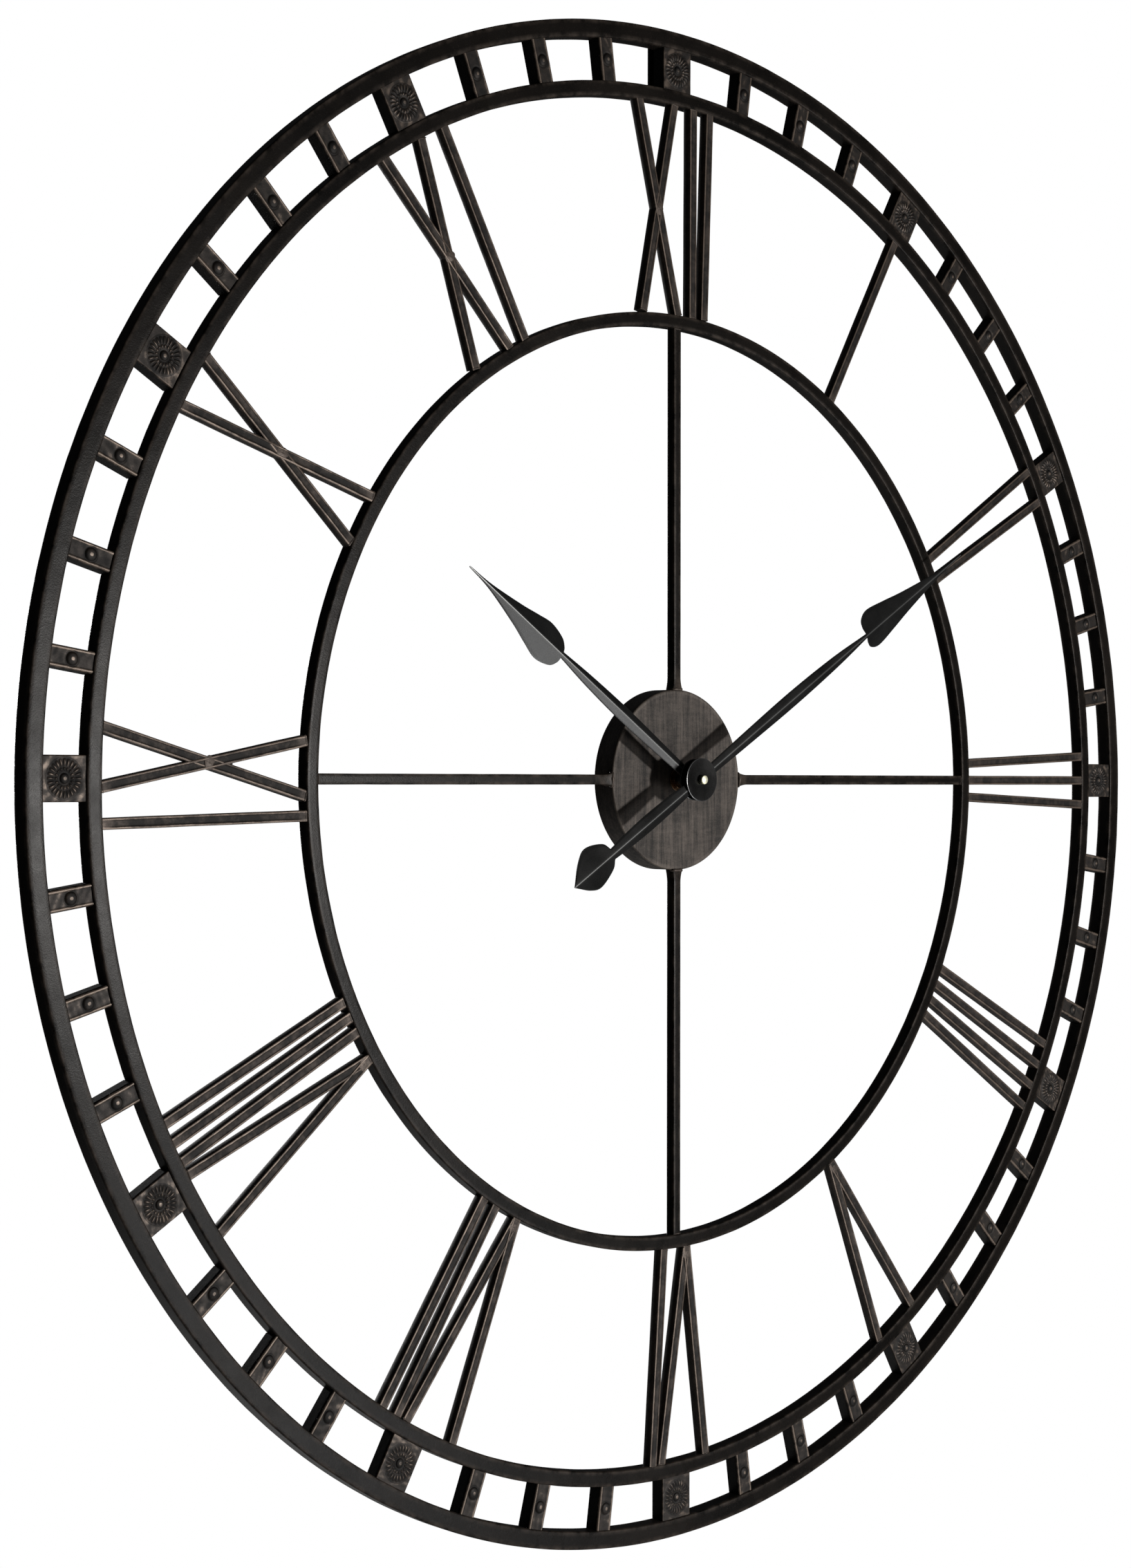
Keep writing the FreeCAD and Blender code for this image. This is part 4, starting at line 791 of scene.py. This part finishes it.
def tile_underside(half, relief, z):
    """Back of the sheet along one row, which follows the press work."""
    count = 25
    x = np.linspace(half - TILE_WALL, -half + TILE_WALL, count)
    z = np.full(count, z)
    lift, _ = relief(x, z - TILE_MIDDLE)
    return np.stack([x, TILE_FRONT - TILE_WALL + lift * 0.9, z], 1)


def tile(shape, half, relief, step, angle, seed):
    """Pressed pan: relief on its front, rolled edges, straight sides and an open back."""
    face, rub = tile_front(half, relief, step, seed)
    down = np.linspace(0, 1, 7)[1:]
    sections = []
    for front in face:
        left, right = front[0], front[-1]
        left_side = left + np.outer(down, (0, TILE_BACK - left[1], 0))
        right_side = right + np.outer(down, (0, TILE_BACK - right[1], 0))
        left_lip = [(-half + TILE_WALL, TILE_BACK, left[2])]
        right_lip = [(half - TILE_WALL, TILE_BACK, right[2])]
        under = tile_underside(half, relief, front[len(front) // 2, 2])
        sections.append(np.concatenate([front, right_side, right_lip, under, left_lip, left_side[::-1]]))
    wear = np.zeros((len(face), len(sections[0])))
    wear[:, :rub.shape[1]] = rub
    own = Shape()
    own.loft(sections, wear)
    shape.take(own.turned(angle))


def rosettes():
    """The flower tile at each hour."""
    for hour in range(1, 13):
        shape = Shape()
        tile(shape, ROSETTE_HALF, rosette_relief, ROSETTE_STEP, 30 * hour, 50 + hour)
        name = f"rosette_{hour:02d}"
        shape.build(name + "_finish", TILE_BRONZE, "dial_frame", [name], sharp=70)


def markers():
    """The narrow tiles, with equal gaps between neighbours, a quarter of the dial at a time."""
    rosette_turn = 2 * math.degrees(math.asin(ROSETTE_HALF / TILE_MIDDLE))
    marker_turn = 2 * math.degrees(math.asin(MARKER_HALF / TILE_MIDDLE))
    gap = (30 - rosette_turn - MARKERS_PER_HOUR * marker_turn) / (MARKERS_PER_HOUR + 1)
    first = (rosette_turn + marker_turn) / 2 + gap
    for quarter, name in enumerate(("12_to_3", "3_to_6", "6_to_9", "9_to_12")):
        shape = Shape()
        for hour in range(3):
            for number in range(MARKERS_PER_HOUR):
                angle = 90 * quarter + 30 * hour + first + number * (marker_turn + gap)
                tile(shape, MARKER_HALF, marker_relief, MARKER_STEP, angle, int(angle * 10))
        shape.build(f"markers_{name}_finish", TILE_BRONZE, "dial_frame", ["markers_" + name], sharp=70)


# ---- drum ----
def drum():
    """Spun cup with a rolled edge, a face that is a touch uneven and a rubbed rim."""
    bore = THREAD_RADIUS + THREAD_CLEARANCE
    rim, shoulder = HUB_RADIUS - DRUM_EDGE, HUB_FRONT - DRUM_EDGE
    inside, back = HUB_RADIUS - DRUM_SHEET, HUB_FRONT - DRUM_SHEET
    profile = [(HUB_RADIUS, 0.0, 0.5)]
    profile += [(HUB_RADIUS, h, 0.0) for h in np.linspace(0.5 * MM, shoulder - 0.5 * MM, 10)]
    for a in np.linspace(0, math.pi / 2, 7):
        profile.append((rim + DRUM_EDGE * math.cos(a), shoulder + DRUM_EDGE * math.sin(a),
                        0.9 * math.sin(2 * a) + 0.25))
    profile += [(r, HUB_FRONT, 0.35 if r > HUB_RADIUS - 3 * MM else 0.0)
                for r in np.linspace(rim - 0.8 * MM, bore + 0.4 * MM, 46)]
    profile += [(bore, HUB_FRONT - 0.2 * MM, 0.3), (bore, back, 0.0)]
    profile += [(r, back, 0.0) for r in np.linspace(bore + 2 * MM, inside - 1 * MM, 12)]
    profile += [(inside, back - 1 * MM, 0.0), (inside, 0.4 * MM, 0.0), (inside + 0.3 * MM, 0.0, 0.3)]
    profile = np.array(profile)
    shape = Shape()
    shape.revolve(profile[:, :2], 288, profile[:, 2])
    points = shape.points[0]
    on_face = (points[:, 1] > HUB_FRONT - 0.01 * MM) & (np.hypot(points[:, 0], points[:, 2]) < rim)
    points[:, 1] -= on_face * np.abs(wobble(points, 50 * MM, 5)) * 0.10 * MM
    shape.build("hub_drum_finish", HUB_BRONZE, "dial_frame", ["hub_drum"], sharp=60)


def spoke_welds():
    """A bead over each spoke at the drum, and a small one at the inner ring."""
    welds = Shape()
    half, wide = SPOKE_WIDTH / 2, SPOKE_WIDTH / 2 * 1.4
    near, far = HUB_RADIUS + 0.3 * MM, INNER_INSIDE - 0.3 * MM
    top, low = SPOKE_FRONT + 0.2 * MM, SPOKE_FRONT - 0.2 * MM
    for hour in SPOKE_HOURS:
        own = Shape()
        bead(own, [(-wide, top - 3 * MM, near), (-wide * 0.9, top - 0.5 * MM, near), (0, top, near),
                   (wide * 0.9, top - 0.5 * MM, near), (wide, top - 3 * MM, near)], 1.25 * MM, hour, 0.6)
        bead(own, [(-half, low, far), (half, low, far)], 0.7 * MM, hour + 20, 0.3)
        welds.take(own.turned(30 * hour))
    welds.build("spoke_welds", WELD_BRONZE, "dial_frame", slot="hub_bronze", sharp=80)


# ---- hands ----
def smooth_line(points, count=12):
    """Catmull-Rom curve through points."""
    points = np.asarray(points, float)
    padded = np.concatenate([[2 * points[0] - points[1]], points, [2 * points[-1] - points[-2]]])
    t = np.linspace(0, 1, count, endpoint=False)[:, None]
    out = []
    for p0, p1, p2, p3 in zip(padded, padded[1:], padded[2:], padded[3:]):
        out.append(0.5 * (2 * p1 + (p2 - p0) * t + (2 * p0 - 5 * p1 + 4 * p2 - p3) * t ** 2
                          + (3 * p1 - p0 - 3 * p2 + p3) * t ** 3))
    return np.concatenate(out + [points[-1:]])


def spade(start, widest, half, neck, length):
    """Outline of a spade head as (half width, distance along), mm: step, shoulder and long taper."""
    taper = length - widest
    return [(neck, start), (half * SPADE_STEP, start + SPADE_STEP_RISE),
            (half * SPADE_SHOULDER[0], start + (widest - start) * SPADE_SHOULDER[1]), (half, widest),
            *((half * across, widest + taper * along) for across, along in SPADE_TAPER),
            (SPADE_TIP, length)]


def blade(shape, outline, ridge):
    """Folded sheet between a mirrored outline: soft ridge, two falling facets and a thin edge, with a
    painted highlight along the ridge and at each facet's outer edge.
    """
    share = np.array([0.0, 0.02, 0.05, 0.10, 0.25, 0.5, 0.75, 0.93, 1.0])
    soft, edge_drop = 0.5 * MM, 0.12 * MM
    sections, wear = [], []
    for half, along in np.asarray(outline, float) * MM:
        u = share * half
        drop = HAND_SLOPE * (np.sqrt(u * u + soft * soft) - soft)
        bottom = np.stack([u * 0.985, ridge - drop - HAND_SHEET], 1)[::-1]
        drop[-1] += edge_drop
        top = np.stack([u, ridge - drop], 1)
        loop = np.concatenate([top, bottom, bottom[-2::-1] * (-1, 1), top[:0:-1] * (-1, 1)])
        sections.append(np.stack([loop[:, 0], loop[:, 1], np.full(len(loop), along)], 1))
        # Painted highlight: pale along the ridge line, and half strength at each facet's outer edge.
        rub = np.exp(-(u / (0.55 * MM)) ** 2)
        rub[-1] = 0.5
        wear.append(np.concatenate([rub, np.zeros(2 * len(share) - 1), rub[:0:-1]]))
    shape.loft(sections, np.array(wear))


def eye(shape, ridge):
    """Round eye of a hand, with its sleeve's hole."""
    back = ridge - HAND_SHEET
    shape.revolve([(SLEEVE_RADIUS, back), (EYE_RADIUS, back), (EYE_RADIUS, ridge),
                   (SLEEVE_RADIUS, ridge)], 64)


def hour_hand():
    """Swelling shank and spade head. Outlines are (half width, distance from the centre), mm."""
    shank = [(4.4, 8.0), (5.4, 45.0), (6.2, 90.0), (5.0, 135.0), (2.6, 171.0)]
    head = spade(start=171, widest=190, half=16.3, neck=2.6, length=283)
    shape = Shape()
    blade(shape, np.concatenate([smooth_line(shank), smooth_line(head)]), HOUR_RIDGE)
    eye(shape, HOUR_RIDGE)
    shape.turned(HOUR_ANGLE).build("hour_hand_finish", HAND_STEEL, "hour_assembly", ["hour_hand"], sharp=50)


def minute_hand():
    """Longer shank and head, with a leaf-shaped counterweight on its tail."""
    shank = [(4.3, 8.0), (5.6, 66.0), (6.4, 130.0), (5.0, 190.0), (1.7, 237.0)]
    head = spade(start=237, widest=253, half=16.8, neck=1.7, length=384)
    tail = [(4.3, 8.0), (6.2, 38.0), (6.8, 66.0), (6.0, 92.0), (4.6, 111.0)]
    leaf = [(4.6, 111.0), (11.9, 115.5), (17.5, 131.0), (12.6, 143.6), (0.3, 159.0)]
    shape = Shape()
    blade(shape, np.concatenate([smooth_line(shank), smooth_line(head)]), MINUTE_RIDGE)
    blade(shape, np.concatenate([smooth_line(tail), smooth_line(leaf)]) * (1, -1), MINUTE_RIDGE)
    eye(shape, MINUTE_RIDGE)
    shape.turned(MINUTE_ANGLE).build("minute_hand_finish", HAND_STEEL, "minute_assembly", ["minute_hand"],
                                     sharp=50)


def hand_disc(name, body, radius, ridge, front, bore, sleeve):
    """Disc with a soft rim and a shallow dished face, on its sleeve, and a painted highlight round its rim.
    """
    rim, soft, dish = 0.35 * MM, 0.1 * MM, 0.16 * MM
    foot = ridge - sleeve
    # Third column: painted highlight, pale on the rim's edges and faintly at the bore.
    profile = np.array([
        (bore, foot, 0), (SLEEVE_RADIUS - 0.2 * MM, foot, 0), (SLEEVE_RADIUS, foot + 0.2 * MM, 0),
        (SLEEVE_RADIUS, ridge, 0), (radius - rim, ridge, 0), (radius - soft, ridge + soft, 0.2),
        (radius, ridge + rim, 0.35), (radius, front - rim, 0.9), (radius - soft, front - soft, 1.0),
        (radius - rim, front, 0.9), (radius - 0.8 * MM, front, 0.05), (radius * 0.75, front - soft, 0),
        (radius * 0.5, front - dish, 0), (bore + 2 * MM, front - dish, 0),
        (bore + 0.3 * MM, front - soft, 0.1), (bore, front - 0.3 * MM, 0.2)])
    shape = Shape()
    shape.revolve(profile[:, :2], 144, profile[:, 2])
    shape.build(name + "_finish", DISC_STEEL, body, [name], sharp=40)


def shaft_cap():
    """Cap nut with a round edge and a slight crown, hollow over the end of the shaft."""
    base, top = MINUTE_DISC_FRONT, CAP_FRONT
    edge, crown, roof, axis = 1.0 * MM, 0.3 * MM, 1.4 * MM, 0.02 * MM
    profile = [(SHAFT_RADIUS, base), (CAP_RADIUS - 0.15 * MM, base), (CAP_RADIUS, base + 0.2 * MM)]
    for a in np.linspace(0, math.pi / 2, 9):
        profile.append((CAP_RADIUS - edge * (1 - math.cos(a)), top - crown - edge * (1 - math.sin(a))))
    profile += [(CAP_RADIUS * 0.5, top - 0.1 * MM), (axis, top), (axis, top - roof),
                (SHAFT_RADIUS, top - roof)]
    shape = Shape()
    shape.revolve(profile, 64)
    shape.build("shaft_cap_finish", CAP_BRASS, "minute_assembly", ["shaft_cap"], sharp=50)


# ---- nut, washer and thread ----
def washer():
    """Brass washer with soft edges."""
    base, top, edge = HUB_FRONT, WASHER_FRONT, 0.25 * MM
    bore = THREAD_RADIUS + THREAD_CLEARANCE
    shape = Shape()
    shape.revolve([(bore, base), (WASHER_RADIUS - edge, base), (WASHER_RADIUS, base + edge),
                   (WASHER_RADIUS, top - edge), (WASHER_RADIUS - edge, top), (bore + edge, top),
                   (bore, top - edge)], 96, [0, 0, 0.5, 0.8, 0.8, 0.4, 0])
    shape.build("brass_washer_finish", BRASS, "dial_frame", ["brass_washer"], sharp=40)


def nut():
    """Hexagon nut with its corners turned off at both faces."""
    around = 120
    angle = np.linspace(0, TAU, around, endpoint=False)
    flat = NUT_CORNER * math.cos(math.pi / 6)
    hexagon = flat / np.cos((angle + math.pi / 6) % (math.pi / 3) - math.pi / 6)
    turned_off = np.minimum(hexagon, NUT_CORNER - 0.6 * MM)
    inner = np.full(around, THREAD_RADIUS)
    levels = [(inner, WASHER_FRONT), (turned_off, WASHER_FRONT), (hexagon, WASHER_FRONT + 0.3 * MM),
              (hexagon, NUT_FRONT - 0.35 * MM), (turned_off, NUT_FRONT), (inner + 0.4 * MM, NUT_FRONT),
              (inner, NUT_FRONT - 0.3 * MM)]
    shape = Shape()
    shape.loft([np.stack([np.sin(angle) * radius, np.full(around, height), np.cos(angle) * radius], 1)
                for radius, height in levels], closed=True)
    shape.build("bushing_nut_finish", BRASS, "dial_frame", ["bushing_nut"], sharp=30)


def bushing_thread():
    """The thread in front of the nut, and the bushing's end down to the hour tube."""
    around, depth = 72, 0.36 * MM
    low, high = NUT_FRONT - 1 * MM, BUSHING_END - 0.05 * MM
    levels = np.linspace(low, high, 110)[:, None]
    angle = np.linspace(0, TAU, around, endpoint=False)
    turn = (levels / THREAD_PITCH + angle / TAU) % 1
    radius = THREAD_RADIUS + 0.02 * MM - depth * np.abs(2 * turn - 1)
    rows = np.stack([np.sin(angle) * radius, np.broadcast_to(levels, radius.shape),
                     np.cos(angle) * radius], 2)
    bore = TUBE_RADIUS + 0.1 * MM
    inside = np.stack([np.sin(angle) * bore, np.full(around, high), np.cos(angle) * bore], 1)
    shape = Shape()
    shape.loft(np.concatenate([rows, inside[None]]), capped=False)
    shape.build("bushing_thread", BRASS, "dial_frame", slot="brass", sharp=60)


square_ring("outer_ring", OUTER_RADIUS, OUTER_TUBE, 1)
square_ring("chapter_ring", CHAPTER_RADIUS, CHAPTER_TUBE, 11)
square_ring("inner_ring", INNER_RADIUS, INNER_TUBE, 21)
for hour in SPOKE_HOURS:
    spoke(hour, 30 + hour)
for hour, letters in BAR_SETS.items():
    numeral(hour, letters)
rosettes()
markers()
drum()
spoke_welds()
hour_hand()
minute_hand()
hand_disc("hour_hand_disc", "hour_assembly", HOUR_DISC_RADIUS, HOUR_RIDGE, HOUR_DISC_FRONT,
          TUBE_RADIUS, HOUR_SLEEVE)
hand_disc("minute_hand_disc", "minute_assembly", MINUTE_DISC_RADIUS, MINUTE_RIDGE, MINUTE_DISC_FRONT,
          SHAFT_RADIUS, MINUTE_SLEEVE)
shaft_cap()
washer()
nut()
bushing_thread()


# ---- camera, lights and stage ----
def place_camera(position, turn, tilt, roll):
    """Long lens level with the dial and well to its left. Angles are from straight at the wall."""
    data = bpy.data.cameras.new("camera")
    data.sensor_fit = "VERTICAL"
    data.sensor_height = 36
    data.lens = 60.57
    data.shift_x = -0.0009
    data.shift_y = -0.0391
    data.clip_start = 0.05
    camera = bpy.data.objects.new("camera", data)
    camera.matrix_world = (Matrix.Translation(position)
                           @ Matrix.Rotation(math.radians(-turn), 4, "Z")
                           @ Matrix.Rotation(math.radians(90 + tilt), 4, "X")
                           @ Matrix.Rotation(math.radians(roll), 4, "Z"))
    bpy.context.scene.collection.objects.link(camera)
    bpy.context.scene.camera = camera


def softbox(name, azimuth, elevation, distance, size, watts, color=(1, 1, 1)):
    """Square lamp facing the dial's centre. Azimuth is to the viewer's right of the dial's normal."""
    data = bpy.data.lights.new(name, "AREA")
    data.size = size
    data.energy = watts
    data.color = color
    a, e = math.radians(azimuth), math.radians(elevation)
    away = Vector((math.sin(a) * math.cos(e), -math.cos(a) * math.cos(e), math.sin(e)))
    lamp = bpy.data.objects.new(name, data)
    lamp.location = away * distance
    lamp.rotation_euler = (-away).to_track_quat("-Z", "Y").to_euler()
    bpy.context.scene.collection.objects.link(lamp)


def white_room():
    """White to the eye, and dim as a light, so that dark metal keeps its depth."""
    world = bpy.data.worlds.new("white_room")
    world.use_nodes = True
    tree = world.node_tree
    seen = tree.nodes["Background"]
    seen.inputs["Color"].default_value = (1, 1, 1, 1)
    seen.inputs["Strength"].default_value = 1.0
    dim = tree.nodes.new("ShaderNodeBackground")
    dim.inputs["Color"].default_value = (0.93, 0.96, 1.0, 1)
    dim.inputs["Strength"].default_value = 0.025
    path = tree.nodes.new("ShaderNodeLightPath")
    mix = tree.nodes.new("ShaderNodeMixShader")
    tree.links.new(path.outputs["Is Camera Ray"], mix.inputs[0])
    tree.links.new(dim.outputs[0], mix.inputs[1])
    tree.links.new(seen.outputs[0], mix.inputs[2])
    tree.links.new(mix.outputs[0], tree.nodes["World Output"].inputs[0])
    bpy.context.scene.world = world


def floor(radius, drop):
    """Wide pale floor well below the clock."""
    thickness, edge, axis = 0.05, 0.02, 0.0001
    shape = Shape()
    shape.revolve([(axis, 0.0), (radius - 0.1, 0.0), (radius, -edge), (radius, -thickness),
                   (axis, -thickness)], 128)
    n = Nodes("pale_floor")
    n.finish(n.mix(n.noise(9), (0.86, 0.86, 0.85), (0.90, 0.90, 0.89)), 0.8, 0.0)
    mesh = bpy.data.meshes.new("floor")
    mesh.from_pydata([(x, z, height - drop) for x, height, z in shape.points[0]], [], shape.faces)
    mesh.materials.append(n.material)
    outward(mesh)
    piece = bpy.data.objects.new("floor", mesh)
    bpy.context.scene.collection.objects.link(piece)


place_camera((-1.5069, -1.4972, -0.0005), turn=43.18, tilt=1.247, roll=0.10)
softbox("key", azimuth=27, elevation=-1, distance=5.0, size=0.40, watts=150, color=(1.0, 0.97, 0.94))
softbox("low_fill", azimuth=26, elevation=-23, distance=2.6, size=0.7, watts=15)
softbox("behind", azimuth=174, elevation=3, distance=3.6, size=0.9, watts=95)
white_room()
floor(radius=5.4, drop=2.4)
bpy.context.scene.view_settings.view_transform = "Standard"
